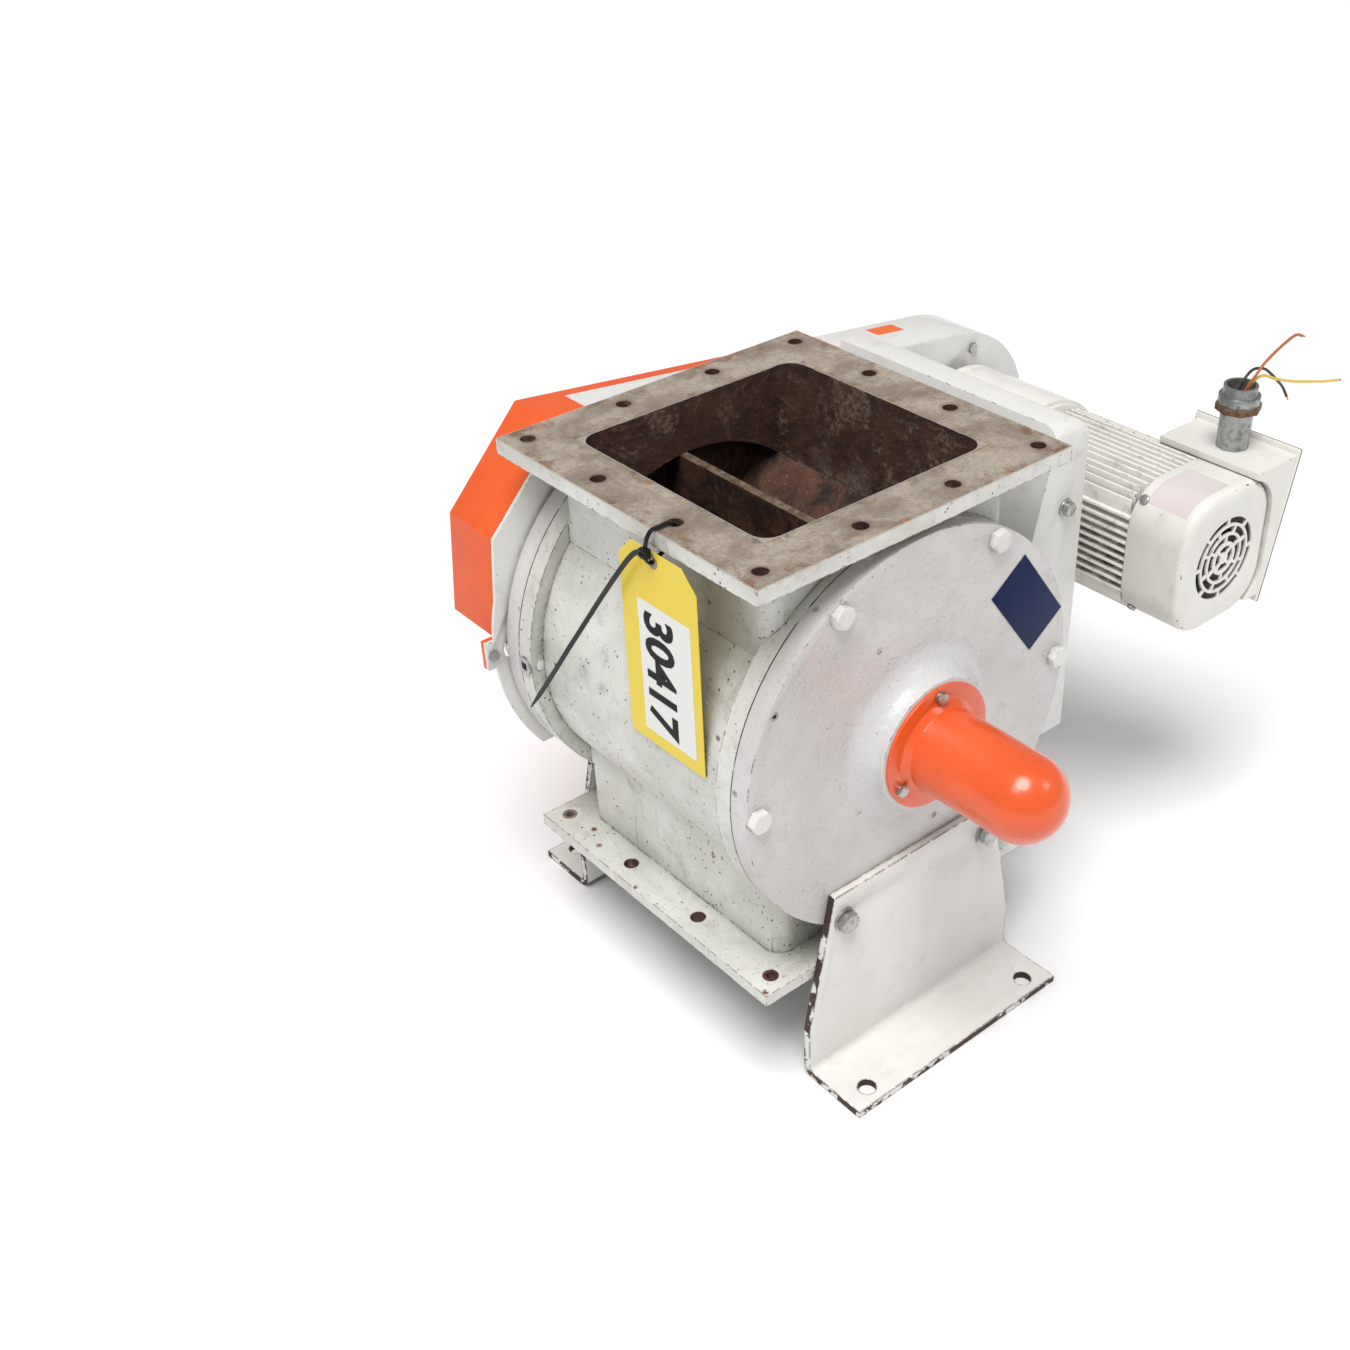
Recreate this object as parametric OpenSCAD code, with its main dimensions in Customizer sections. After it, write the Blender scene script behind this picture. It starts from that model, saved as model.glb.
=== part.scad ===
// Rotary airlock valve with a chain drive and a side-mounted gearmotor.
// Origin: centre of the underside of the outlet flange. +X is the motor side,
// +Y the chain side, +Z up. All lengths are in millimetres.

/* [Housing] */
// Height from the outlet flange face to the inlet flange face
height = 435; // [424:1:470]
// Outer side of both square flanges
flange_w = 355.6; // [350:0.1:372]
// Thickness of the inlet flange
inlet_t = 15; // [10:0.5:18]
// Thickness of the outlet flange
outlet_t = 12.5; // [8:0.5:18]
// Distance from the flange's edge to its outer bolt holes
hole_edge = 20.6; // [17:0.1:22]
// Diameter of the flange bolt holes
flange_hole_d = 14; // [9:0.5:16]
// Diameter of the tapped holes in the corners of the outlet flange
corner_tap_d = 9; // [6:0.5:14]
// Side of the square throat
throat_w = 252; // [220:1:262]
// Corner radius of the throat
throat_corner_r = 18; // [8:1:40]
// Outer width of the necks across the shaft
neck_w = 276; // [270:1:288]
// Outer length of the necks along the shaft
neck_len = 290; // [270:1:292]
// Diameter of the rotor bore
bore_d = 330; // [322:1:334]
// Wall of the barrel
barrel_wall = 15; // [10:0.5:20]
// Radial height of the end ring flanges above the bore
ring_wall = 29; // [27:0.5:31]
// Thickness of each end ring flange
ring_t = 19; // [14:0.5:24]
// Length of the housing along the shaft, without the end plates
body_len = 310; // [306:1:314]

/* [End plates] */
// Thickness of the end plate disc
plate_t = 20.5; // [18:0.5:22]
// Depth of the register that centres the end plate in the bore
pilot_depth = 4; // [3:0.5:6]
// Radius of the hub face
hub_r = 64; // [60:1:68]
// How far the hub flares out at its foot
hub_flare = 26.6; // [15:0.1:30]
// Length of the hub beyond the disc
hub_len = 24.5; // [22:0.5:28]
// Distance of the bolt circle from the rim of the disc
bolt_inset = 11.4; // [11:0.1:13]
// Diameter of the end plate bolts
bolt_d = 12; // [8:0.5:13]
// Width across flats of the end plate bolt heads
bolt_af = 19; // [16:0.5:21]
// Height of the end plate bolt heads
bolt_head_h = 8; // [5:0.5:9]
// Diameter of the jacking screws
jack_d = 8; // [5:0.5:9]

/* [Shaft] */
// Diameter of the rotor shaft in the bearings
shaft_d = 45; // [38:1:48]
// Diameter of the shaft stub under the shaft guard
stub_d = 38; // [25:1:44]
// Length of the shaft stub beyond the front hub
stub_len = 92; // [40:1:105]
// Outer diameter of the rotor bearings
bearing_od = 85; // [80:1:86]
// Width of the rotor bearings
bearing_w = 19; // [16:0.5:20]
// Outer diameter of the shaft seals
seal_od = 64; // [58:1:72]
// Width of the shaft seals
seal_w = 12; // [8:0.5:14]

/* [Rotor] */
// Number of vanes
vane_count = 8; // [6:1:10]
// Thickness of a vane
vane_t = 8; // [5:0.5:12]
// Angle of the first vane from +X
vane_angle = 93.5; // [90:0.5:96]
// Outer diameter of the rotor hub
rotor_hub_d = 84; // [70:1:110]
// Gap between the vane tips and the bore
tip_gap = 0.5; // [0.3:0.1:1]
// Gap between the vane ends and the end plates
end_gap = 0.4; // [0.3:0.1:1]

/* [Shaft guard] */
// Radius of the flange of the shaft guard
dome_flange_r = 60; // [57:0.5:63]
// Outer radius of the dome
dome_r = 39.5; // [36:0.5:42]
// Distance from the hub face to the tip of the dome
dome_len = 140; // [130:1:160]
// Sheet thickness of the dome and its flange
dome_wall = 3; // [1.5:0.5:4]
// Radius of the circle of the three dome screws
dome_screw_circle_r = 51; // [50:0.5:52]
// Diameter of the dome screws
dome_screw_d = 6; // [4:0.5:6]

/* [Foot brackets] */
// Sheet thickness of the foot brackets
foot_t = 8; // [5:0.5:10]
// Height of the top edge above the origin
foot_top_z = 89; // [84:1:92]
// Depth of the foot face below the outlet flange face
foot_drop = 116; // [90:1:140]
// Half width of the top edge
foot_top_x = 103; // [100:1:110]
// Half width of the foot
foot_x = 134; // [128:1:145]
// Height where the sloping sides end, below the outlet flange face
foot_slope_drop = 57; // [40:1:80]
// Length of the foot, measured from the end plate face
foot_len = 76; // [70:1:90]
// Distance from the end plate face to the foot holes
foot_hole_out = 57.5; // [50:0.5:62]
// Half distance between the two holes of one foot
foot_hole_x = 107; // [90:1:115]
// Diameter of the foot holes
foot_hole_d = 17.5; // [12:0.5:20]
// Outer radius of the bend
foot_bend_r = 14; // [11:1:20]

/* [Chain drive] */
// Number of chain links
chain_links = 82; // [82:2:86]
// Chain pitch
chain_pitch = 15.875; // [15.875:0.001:16.1]
// Teeth of the sprocket on the rotor shaft
driven_teeth = 40; // [36:4:40]
// Teeth of the sprocket on the gear reducer
drive_teeth = 20; // [16:4:20]
// Height of the drive axis above the rotor axis
drive_rise = 23.5; // [10:0.5:30]
// Position of the chain's middle plane along the shaft
chain_y = 222; // [220:0.5:226]
// Diameter of the chain rollers
roller_d = 10.16; // [9.6:0.01:10.2]

/* [Chain guard] */
// Valve side of the guard's back plate
guard_y = 181; // [180:0.5:183]
// Depth of the guard over all
guard_depth = 75; // [70:1:85]
// Sheet thickness of the guard
guard_wall = 3; // [1.5:0.5:4]
// Thickness of the back plate
back_t = 4; // [3:0.5:5]
// Radius of the guard's round end about the drive axis
guard_end_r = 120; // [116:1:126]
// Where the orange cover meets the white hood
hood_split_x = 271; // [230:1:300]

/* [Drive mount] */
// Outer face towards the gear reducer
mount_right_x = 284; // [282:1:292]
// Left edge at the top of the mount
mount_top_left_x = 241; // [236:1:248]
// Left side below the sloping part
mount_left_x = 207; // [204:1:215]
// Front face of the mount, measured towards the front
mount_front_y = 112; // [100:1:120]
// Top of the mount above the origin
mount_top_z = 406; // [396:1:412]
// Bottom of the mount above the origin
mount_bottom_z = 57; // [45:1:70]
// Wall of the mount
mount_wall = 4; // [3:0.5:5]
// Radius of the rounded top edges of the mount
mount_edge_r = 18; // [10:1:22]

/* [Gear reducer] */
// Outer radius of the reducer housing
reducer_r = 88; // [86:1:92]
// Wall of the reducer housing
reducer_wall = 6; // [4:0.5:6.5]
// Where the reducer housing begins, at the motor flange
reducer_y = 40; // [38:0.5:42]
// Length of the reducer housing
reducer_len = 120; // [116:1:123]
// Thickness of the reducer's end cover
reducer_cover_t = 8; // [6:0.5:10]
// Radius of the end cover's boss, which passes through the guard
output_boss_r = 45; // [42:1:48]
// Diameter of the output shaft
output_shaft_d = 32; // [26:1:34]
// Gear module of both reduction stages
gear_module = 1; // [0.9:0.05:1.05]
// Face width of the gears
gear_w = 12; // [8:1:14]

/* [Motor] */
// Half width of the motor across the shaft
motor_half_w = 68; // [66:0.5:70]
// Half height of the motor
motor_half_h = 74; // [72:0.5:76]
// Corner radius of the motor's rounded square section
motor_corner_r = 45; // [38:1:52]
// Outer radius of the motor tube under the fins
motor_tube_r = 60; // [58:0.5:62]
// Wall of the motor tube
motor_tube_wall = 5; // [4:0.5:8]
// Length of the finned frame
motor_frame_len = 161; // [150:1:165]
// Radius of the round motor flange
motor_flange_r = 84; // [80:1:86]
// Thickness of the round motor flange
motor_flange_t = 5; // [4:0.5:8]
// Diameter of the motor shaft
motor_shaft_d = 20; // [16:1:22]
// Length of the fan cover
fan_cover_len = 69; // [60:1:80]
// Sheet thickness of the fan cover
fan_cover_wall = 2.5; // [1.5:0.5:3]
// Radius of the round grille
grille_r = 44; // [38:1:48]
// Number of cooling fins on each side
fins_per_side = 10; // [6:1:10]
// Thickness of a fin
fin_t = 3; // [2:0.5:4]
// Air gap between the motor's rotor and stator
air_gap = 0.5; // [0.3:0.1:0.8]

/* [Terminal box] */
// Tilt of the box's outer side
box_tilt = 12; // [8:0.5:14]
// Distance of the box's lower outer corner from the motor axis
box_reach = 69; // [67:0.5:76]
// Height of the box's top above the motor axis
box_top = 79; // [78:0.5:84]
// Depth of the box's lower edge below the motor axis
box_drop = 68; // [60:1:70]
// Rear end of the box, measured towards the front
box_y0 = 76; // [70:1:90]
// Length of the box along the motor
box_len = 121; // [100:1:125]
// Wall of the box
box_wall = 4; // [2.5:0.5:4.5]
// Thickness of the box's cover plate
box_cover_t = 6; // [3:0.5:8]
// Radius of the conduit connector body
conduit_r = 16.5; // [16:0.5:18]

/* [Labels and tag] */
// Width of the blank nameplate
nameplate_w = 50; // [40:1:60]
// Length of the blank nameplate
nameplate_len = 95; // [80:1:100]
// Width of the hanging tag
tag_w = 102; // [80:1:102]
// Length of the hanging tag
tag_len = 197; // [150:1:200]

/* [Hidden] */
$fn = 64;

// Clearances
slip = 0.3;          // between pieces that only lie beside each other
plate_room = 1;      // round the end plates, where the necks are cut back
nut_room = 12;       // beyond the flanges, for the nuts of their bolts
fit = 0.02;          // locating fits and press fits
run = 0.05;          // running fits
thread = 0.05;       // a screw in its tapped hole
hole_clear = 0.75;   // a bolt in its clearance hole, on the radius
eps = 1;             // how far a cutting shape runs past a face

// Housing
shaft_z = height / 2;
bore_r = bore_d / 2;
ring_r = bore_r + ring_wall;
hole_pitch = (flange_w - 2 * hole_edge) / 3;
body_half = body_len / 2;
plate_face = body_half + plate_t;
hub_face = plate_face + hub_len;
pilot_face = body_half - pilot_depth;
bolt_circle_r = ring_r - bolt_inset;
bolt_angles = [0, 60, 120, 180];
guard_bolt_angles = [0, 60, 120];
rear_bolt_angles = [180];
foot_bolt_angles = [240, 300];
jack_angle = 150;
jack_circle_r = ring_r - jack_d;
plug_r = 9;
plug_depth = 4.5;
outlet_flange_len = 2 * plate_face - 2 * slip;

// Shaft and bearings
shaft_r = shaft_d / 2;
snap_w = 2.5;
snap_groove = 2.5;
hub_lip = 6;
bearing_y1 = hub_face - hub_lip - snap_w;
bearing_y0 = bearing_y1 - bearing_w;
bearing_race_r = (shaft_r + bearing_od / 2) / 2 - 4;
shaft_rear_y = chain_y + 18;

// Foot brackets
foot_face = plate_face + foot_t;
washer_t = 2.5;
washer_r = 12;

// Chain drive: path of the chain in the XZ plane
driven_r = chain_pitch / (2 * sin(180 / driven_teeth));
drive_r = chain_pitch / (2 * sin(180 / drive_teeth));

function span_angle(c) = asin((driven_r - drive_r) / c);
function span_of(c) = chain_pitch / 2 * (chain_links - (driven_teeth + drive_teeth) / 2
    - (driven_teeth - drive_teeth) * span_angle(c) / 180);
function solve_centres(c, n) = n == 0 ? c :
    solve_centres(sqrt(pow(driven_r - drive_r, 2) + pow(span_of(c), 2)), n - 1);

centres = solve_centres(26 * chain_pitch, 12);
span_links = span_of(centres) / chain_pitch;
drive_x = sqrt(centres * centres - drive_rise * drive_rise);
drive_z = shaft_z + drive_rise;
centre_angle = asin(drive_rise / centres);
top_angle = centre_angle + 90 - span_angle(centres);
low_angle = centre_angle - 90 + span_angle(centres);
drive_wrap = (top_angle - low_angle) * drive_teeth / 360;

function polar(r, a) = [r * cos(a), r * sin(a)];
function arc(c, r, a0, a1, n) = [for (i = [0:n]) c + polar(r, a0 + (a1 - a0) * i / n)];

driven_c = [0, shaft_z];
drive_c = [drive_x, drive_z];

// Point of the chain s links after the driven sprocket's upper tangent point
function chain_point(s) =
    s < span_links ?
        driven_c + polar(driven_r, top_angle) + polar(s * chain_pitch, top_angle - 90) :
    s < span_links + drive_wrap ?
        drive_c + polar(drive_r, top_angle - (s - span_links) * 360 / drive_teeth) :
    s < 2 * span_links + drive_wrap ?
        drive_c + polar(drive_r, low_angle)
            - polar((s - span_links - drive_wrap) * chain_pitch, low_angle + 90) :
        driven_c + polar(driven_r, low_angle - (s - 2 * span_links - drive_wrap) * 360 / driven_teeth);

first_drive_roller = ceil(span_links);
drive_phase = top_angle - (first_drive_roller - span_links) * 360 / drive_teeth;
roller_r = roller_d / 2;
tooth_w = 8.7;
tooth_rise = 4.4;    // from the pitch circle to the tips
tooth_gap = 7.2;     // half the opening between two tips
seat_clear = 0.12;   // between a roller and its seat
roller_w = 9.5;
link_t = 2.03;
pin_r = 2.54;
link_r = 7;
sprocket_hub_y = 17;
sprocket_hub_end = 15;
driven_hub_r = 38;
drive_hub_r = 28;
key_w = 10;
key_h = 8;
key_len = 28;
set_screw_d = 8;

// Chain guard outline in the XZ plane, counter-clockwise
guard_y1 = guard_y + back_t;
guard_face = guard_y + guard_depth;
guard_corner_a = [-107, shaft_z + 205.5];
guard_corner_b = [-191.5, shaft_z + 118];
guard_corner_c = [-201.3, shaft_z + 15.5];
guard_corner_d = [-63, shaft_z - 122.5];

function tangent_angle(p, c, r, side) =
    let (d = c - p) atan2(d[1], d[0]) + 180 - side * acos(r / norm(d));

guard_outline = concat(
    [guard_corner_a, guard_corner_b, guard_corner_c, guard_corner_d],
    arc(drive_c, guard_end_r, tangent_angle(guard_corner_d, drive_c, guard_end_r, -1) - 360,
        tangent_angle(guard_corner_a, drive_c, guard_end_r, 1), 24)
);

function unit(v) = v / norm(v);
function left_of(v) = [-v[1], v[0]];
function mitre(a, b, d) = d * (a + b) / (1 + a * b);
function inset(p, d) = [for (i = [0:len(p) - 1])
    let (before = p[(i + len(p) - 1) % len(p)], after = p[(i + 1) % len(p)])
    p[i] + mitre(left_of(unit(p[i] - before)), left_of(unit(after - p[i])), d)];

back_plate_r = ring_r + 11;
tab_size = 16;
tab_t = 5;
guard_screw_d = 6;
tab_reach = 3 * tab_size;
guard_head_h = 2.9;
guard_tabs = [[-90, shaft_z + 190], [150, shaft_z + 163], [440, shaft_z + 122], [330, shaft_z - 86]];
latch_x = -207;
latch_w = 14;
latch_h = 30;
latch_at = [latch_x, shaft_z];

// Drive mount
mount_slope_z = 270;
mount_bolts = [[262, 345], [262, 245], [262, 140], [228, 140]];
mount_bolt_d = 10;
clamp_at = [259, 320];
clamp_d = 8;

// Gear reducer, with the same pair of teeth numbers in both stages
gear_backlash = 0.2;
pinion_teeth = 12;
gear_teeth = 72;
reducer_y1 = reducer_y + reducer_len;
reducer_face = reducer_y1 + reducer_cover_t;
boss_face = guard_y + 1.5;
gear_centres = gear_module * (pinion_teeth + gear_teeth) / 2;
first_stage_y = reducer_y + 11;
second_stage_y = first_stage_y + gear_w + 18;
layshaft_r = 6;
output_r = output_shaft_d / 2;
output_bearing_r = output_r + 15;
reducer_foot_t = 14;
reducer_foot_h = 170;
reducer_foot_y = [60, 140];
reducer_foot_bolt_z = [-72, 72];
reducer_foot_bolt_d = 10;
cover_bolt_r = reducer_r - 6;
flange_bolt_r = motor_flange_r - 8;
reducer_bolt_d = 6;
reducer_bolt_af = 10;
cover_bolt_angles = [30:60:330];
flange_bolt_angles = [45:90:315];
reducer_rim = 16;

// Motor
motor_y = reducer_y - motor_flange_t;
motor_back = motor_y - motor_frame_len;
fan_cover_y0 = motor_back - slip;
fan_cover_face = fan_cover_y0 - fan_cover_len;
motor_shaft_r = motor_shaft_d / 2;
stator_r = motor_tube_r - motor_tube_wall - fit;
core_r = 35;
bell_t = 10;
bell_y = motor_back + bell_t;
bearing_r = 23.5;
bearing_t = 12;
fin_span = 81;
corner_x = motor_half_w - motor_corner_r;
corner_z = motor_half_h - motor_corner_r;
lug_half = 6;
cover_screw_d = 5;
cover_screw_len = 12;
cover_head_h = 3;
fan_lugs = [[-corner_x, corner_z, 135], [-corner_x, -corner_z, 225], [0, -corner_z, 270]];
lug_y = motor_back - 7;
fan_y = motor_back - 32;
fan_w = 22;

// Terminal box
box_y1 = box_y0 + box_len;
box_base = [box_reach, -box_drop];
box_side_len = (box_top + box_drop) / cos(box_tilt);
box_gap = 1;
conduit_at = [72, -139];
conduit_body_h = 40;
locknut_h = 7;
locknut_r = 23;
collar_r = 20.5;
collar_h = 9;
nipple_r = 17;
nipple_h = 10;
conduit_bore_r = 14;

// Wire leads, from inside the conduit to their bare ends
lead_r = 1.5;
yellow_route = [[483, -143, 362], [483, -143, 372], [488, -145, 386], [503, -147, 391],
    [528, -147, 380], [559, -147, 368], [591, -147, 358], [620, -146, 349], [650, -145, 341]];
orange_route = [[478, -143, 362], [478, -143, 372], [483, -146, 387], [490, -148, 396], [500, -148, 404],
    [515, -148, 411], [533, -147, 416], [552, -146, 419], [566, -145, 414]];
black_route = [[481, -136, 362], [481, -136, 372], [486, -137, 387], [500, -137, 395],
    [518, -138, 391], [532, -139, 381], [545, -139, 370], [556, -139, 360], [566, -139, 347]];
rings_per_step = 3;

// Nameplate, from the shaft axis
nameplate_at = [137, 75.5];
nameplate_angle = 36.3;
nameplate_t = 0.8;

// Tag and tie
tag_hang = 4.5;      // from the flange's edge
tag_room = 2.3;      // from the barrel
tag_x = -max(flange_w / 2 + tag_hang, bore_r + barrel_wall + tag_room);
tag_t = 0.8;
tag_side = 55.6;
tag_clip = 18;
tag_top = height - inlet_t - 2;
eyelet_drop = 9;
eyelet_r = 3;
tie_w = 4.8;
tie_t = 1.3;
tie_y = -hole_pitch / 2;
tag_y = [tie_y - tag_side, tie_y - tag_side + tag_w];
tie_gap = 0.1;
tie_loop_x = tag_x - 5;
tie_head = [8, 9, 6];
tie_tail = [[-ring_r - 4, 60, shaft_z + 62.5], [-ring_r - 5, 140, shaft_z - 43.5]];
tie_x = -flange_w / 2 - tie_t - slip;

// ---------- Helpers ----------

// A cylinder along Y between two stations
module rod_y(r, y0, y1) {
    translate([0, y0, 0]) rotate([-90, 0, 0]) cylinder(r = r, h = y1 - y0);
}

// A cylinder along X between two stations
module rod_x(r, x0, x1) {
    translate([x0, 0, 0]) rotate([0, 90, 0]) cylinder(r = r, h = x1 - x0);
}

// A tube along Y
module tube_y(outer, inner, y0, y1) {
    difference() {
        rod_y(outer, y0, y1);
        rod_y(inner, y0 - eps, y1 + eps);
    }
}

// A flat shape drawn in X and Z, thick along Y
module slab_y(y0, y1) {
    translate([0, y1, 0]) rotate([90, 0, 0]) linear_extrude(height = y1 - y0) children();
}

// A flat shape drawn in Y and Z, thick along X
module slab_x(x0, x1) {
    translate([x0, 0, 0]) rotate([90, 0, 90]) linear_extrude(height = x1 - x0) children();
}

module at_shaft() {
    translate([0, 0, shaft_z]) children();
}

module at_drive() {
    translate([drive_x, 0, drive_z]) children();
}

// Turns its child about the Y axis, from +X towards +Z
module turned(a) {
    rotate([0, -a, 0]) children();
}

module front_and_rear() {
    children();
    mirror([0, 1, 0]) children();
}

module to_front() {
    mirror([0, 1, 0]) children();
}

// A hexagon screw whose head stands on z = 0 and whose shank points down
module hex_screw(af, head_h, d, length) {
    cylinder(r = af / sqrt(3), h = head_h, $fn = 6);
    translate([0, 0, -length]) cylinder(r = d / 2, h = length);
}

// The same screw along Y, with its head towards +Y
module hex_screw_y(y, af, head_h, d, length) {
    translate([0, y, 0]) rotate([-90, 0, 0]) hex_screw(af, head_h, d, length);
}

// Children on the bolt circle of the end plates
module on_bolt_circle(angles) {
    at_shaft() for (a = angles) turned(a) translate([bolt_circle_r, 0, 0]) children();
}

// ---------- Valve ----------

function flange_holes() = [for (i = [0:3], j = [0:3])
    if (i == 0 || i == 3 || j == 0 || j == 3) [(i - 1.5) * hole_pitch, (j - 1.5) * hole_pitch]];
function is_corner(p) = abs(p[0]) > hole_pitch && abs(p[1]) > hole_pitch;

module throat() {
    half = throat_w / 2;
    core = half - throat_corner_r;
    translate([-half, -core, -eps]) cube([throat_w, 2 * core, height + 2 * eps]);
    translate([-core, -half, -eps]) cube([2 * core, throat_w, height + 2 * eps]);
    for (x = [-core, core], y = [-core, core])
        translate([x, y, -eps]) cylinder(r = throat_corner_r, h = height + 2 * eps);
}

module flange(w, len, z, t) {
    translate([-w / 2, -len / 2, z]) cube([w, len, t]);
}

// Square neck above and below the barrel, cut back where the end plates seat
module neck() {
    difference() {
        flange(neck_w, neck_len, outlet_t / 2, height - outlet_t / 2 - inlet_t / 2);
        front_and_rear() at_shaft() rod_y(ring_r + plate_room, body_half, body_half + neck_len);
    }
}

module housing() {
    color("gainsboro") difference() {
        union() {
            at_shaft() rod_y(bore_r + barrel_wall, -body_half, body_half);
            front_and_rear() at_shaft() rod_y(ring_r, body_half - ring_t, body_half);
            neck();
            flange(flange_w, flange_w, height - inlet_t, inlet_t);
            flange(flange_w, outlet_flange_len, 0, outlet_t);
        }
        at_shaft() rod_y(bore_r, -body_half - eps, body_half + eps);
        throat();
        for (p = flange_holes()) {
            translate([p[0], p[1], height - inlet_t - nut_room])
                cylinder(d = flange_hole_d, h = inlet_t + nut_room + eps);
            translate([p[0], p[1], -eps])
                cylinder(d = is_corner(p) ? corner_tap_d : flange_hole_d, h = outlet_t + nut_room + eps);
        }
        front_and_rear() on_bolt_circle(concat(bolt_angles, foot_bolt_angles))
            rod_y(bolt_d / 2 + thread, body_half - ring_t - eps, body_half + eps);
        at_shaft() translate([0, body_half - ring_t / 2, 0])
            rod_x(plug_r + thread, -ring_r - eps, -ring_r + plug_depth);
    }
}

// Half section of the hub, radius by length
hub_profile = concat(
    [[0, plate_face - eps], [hub_r + hub_flare, plate_face - eps]],
    [for (i = [0:12]) [hub_r + hub_flare * (1 - sin(i * 7.5)), plate_face + hub_len * (1 - cos(i * 7.5))]],
    [[0, hub_face]]
);

module end_plate(dome_holes) {
    difference() {
        at_shaft() union() {
            rod_y(bore_r - run, pilot_face, body_half);
            rod_y(ring_r, body_half, plate_face);
            rotate([-90, 0, 0]) rotate_extrude() polygon(hub_profile);
        }
        at_shaft() {
            rod_y(shaft_r + eps, pilot_face - eps, hub_face);
            rod_y(seal_od / 2 + fit, pilot_face - eps, pilot_face + seal_w);
            rod_y(bearing_od / 2 + fit, bearing_y0, hub_face + eps);
            rod_y(bearing_od / 2 + snap_groove, bearing_y1, bearing_y1 + snap_w);
            turned(jack_angle) translate([jack_circle_r, 0, 0])
                rod_y(jack_d / 2 + thread, body_half - eps, plate_face + eps);
            for (a = dome_holes) turned(a) translate([dome_screw_circle_r, 0, 0])
                rod_y(dome_screw_d / 2 + thread, hub_face - dome_screw_len, hub_face + eps);
        }
        on_bolt_circle(concat(bolt_angles, foot_bolt_angles))
            rod_y(bolt_d / 2 + hole_clear, body_half - eps, plate_face + eps);
    }
}

dome_screw_angles = [90, 210, 330];
dome_screw_len = 14;
dome_head_h = 5;

module front_end_plate() {
    color("whitesmoke") to_front() end_plate(dome_screw_angles);
}

module rear_end_plate() {
    color("whitesmoke") end_plate([]);
}

module end_plate_bolts() {
    color("gainsboro") {
        to_front() on_bolt_circle(bolt_angles)
            hex_screw_y(plate_face, bolt_af, bolt_head_h, bolt_d, plate_t + ring_t);
        on_bolt_circle(rear_bolt_angles)
            hex_screw_y(plate_face, bolt_af, bolt_head_h, bolt_d, plate_t + ring_t);
    }
}

module jack_screws() {
    color("dimgray") front_and_rear() at_shaft() turned(jack_angle)
        translate([jack_circle_r, 0, 0]) difference() {
            rod_y(jack_d / 2, body_half + slip, plate_face - slip);
            translate([0, plate_face - jack_d / 2, 0]) rotate([-90, 0, 0])
                cylinder(d = jack_d / 2, h = jack_d, $fn = 6);
        }
}

module purge_plug() {
    color("silver") at_shaft() translate([0, body_half - ring_t / 2, 0]) difference() {
        rod_x(plug_r, -ring_r - 2, -ring_r + plug_depth - slip);
        translate([-ring_r - 2 - eps, -4, -4]) cube([6, 8, 8]);
    }
}

module shaft_seals() {
    color("black") front_and_rear() at_shaft()
        tube_y(seal_od / 2, shaft_r + run, pilot_face + slip, pilot_face + seal_w);
}

module bearing_outer_rings() {
    color("silver") front_and_rear() at_shaft()
        tube_y(bearing_od / 2, bearing_race_r + run, bearing_y0, bearing_y1);
}

module bearing_inner_rings() {
    color("silver") front_and_rear() at_shaft()
        tube_y(bearing_race_r, shaft_r + fit, bearing_y0 + slip, bearing_y1 - slip);
}

module bearing_snap_rings() {
    color("dimgray") front_and_rear() at_shaft() difference() {
        rod_y(bearing_od / 2 + snap_groove - slip, bearing_y1 + fit, bearing_y1 + snap_w - fit);
        rod_y(bearing_od / 2 - 4, bearing_y1 - eps, bearing_y1 + snap_w + eps);
        translate([-5, bearing_y1 - eps, bearing_od / 2 - 8]) cube([10, snap_w + 2 * eps, 20]);
    }
}

// ---------- Rotor ----------

module rotor() {
    rotor_half = pilot_face - end_gap;
    color("sienna") at_shaft() difference() {
        union() {
            rod_y(rotor_hub_d / 2, -rotor_half, rotor_half);
            for (i = [0:vane_count - 1]) turned(vane_angle + i * 360 / vane_count)
                translate([rotor_hub_d / 2 - 6, -rotor_half, -vane_t / 2])
                    cube([bore_r - tip_gap - rotor_hub_d / 2 + 6, 2 * rotor_half, vane_t]);
        }
        rod_y(shaft_r + fit, -rotor_half - eps, rotor_half + eps);
    }
}

// Keyway block on top of a shaft, with the key's own size and a clearance
module key_block(r, clear) {
    translate([-key_w / 2 - clear, chain_y - key_len / 2 - clear, r - key_h / 2 - clear])
        cube([key_w + 2 * clear, key_len + 2 * clear, key_h + 2 * clear]);
}

module rotor_shaft() {
    color("silver") at_shaft() difference() {
        union() {
            rod_y(shaft_r, -hub_face, shaft_rear_y);
            rod_y(stub_d / 2, -hub_face - stub_len, -hub_face + eps);
        }
        key_block(shaft_r, fit);
    }
}

// ---------- Shaft guard ----------

module dome_solid(r, y0, tip) {
    rod_y(r, y0, tip - r);
    translate([0, tip - r, 0]) sphere(r = r);
}

module shaft_guard() {
    fillet = dome_wall + 3;
    tip = hub_face + dome_len;
    color("orangered") to_front() at_shaft() difference() {
        union() {
            rod_y(dome_flange_r, hub_face, hub_face + dome_wall);
            dome_solid(dome_r, hub_face, tip);
            translate([0, hub_face + dome_wall, 0]) rotate([-90, 0, 0])
                cylinder(r1 = dome_r + fillet, r2 = dome_r, h = fillet);
        }
        translate([0, -eps, 0]) dome_solid(dome_r - dome_wall, hub_face, tip - dome_wall + eps);
        for (a = dome_screw_angles) turned(a) translate([dome_screw_circle_r, 0, 0])
            rod_y(dome_screw_d / 2 + hole_clear, hub_face - eps, hub_face + dome_wall + eps);
    }
}

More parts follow.
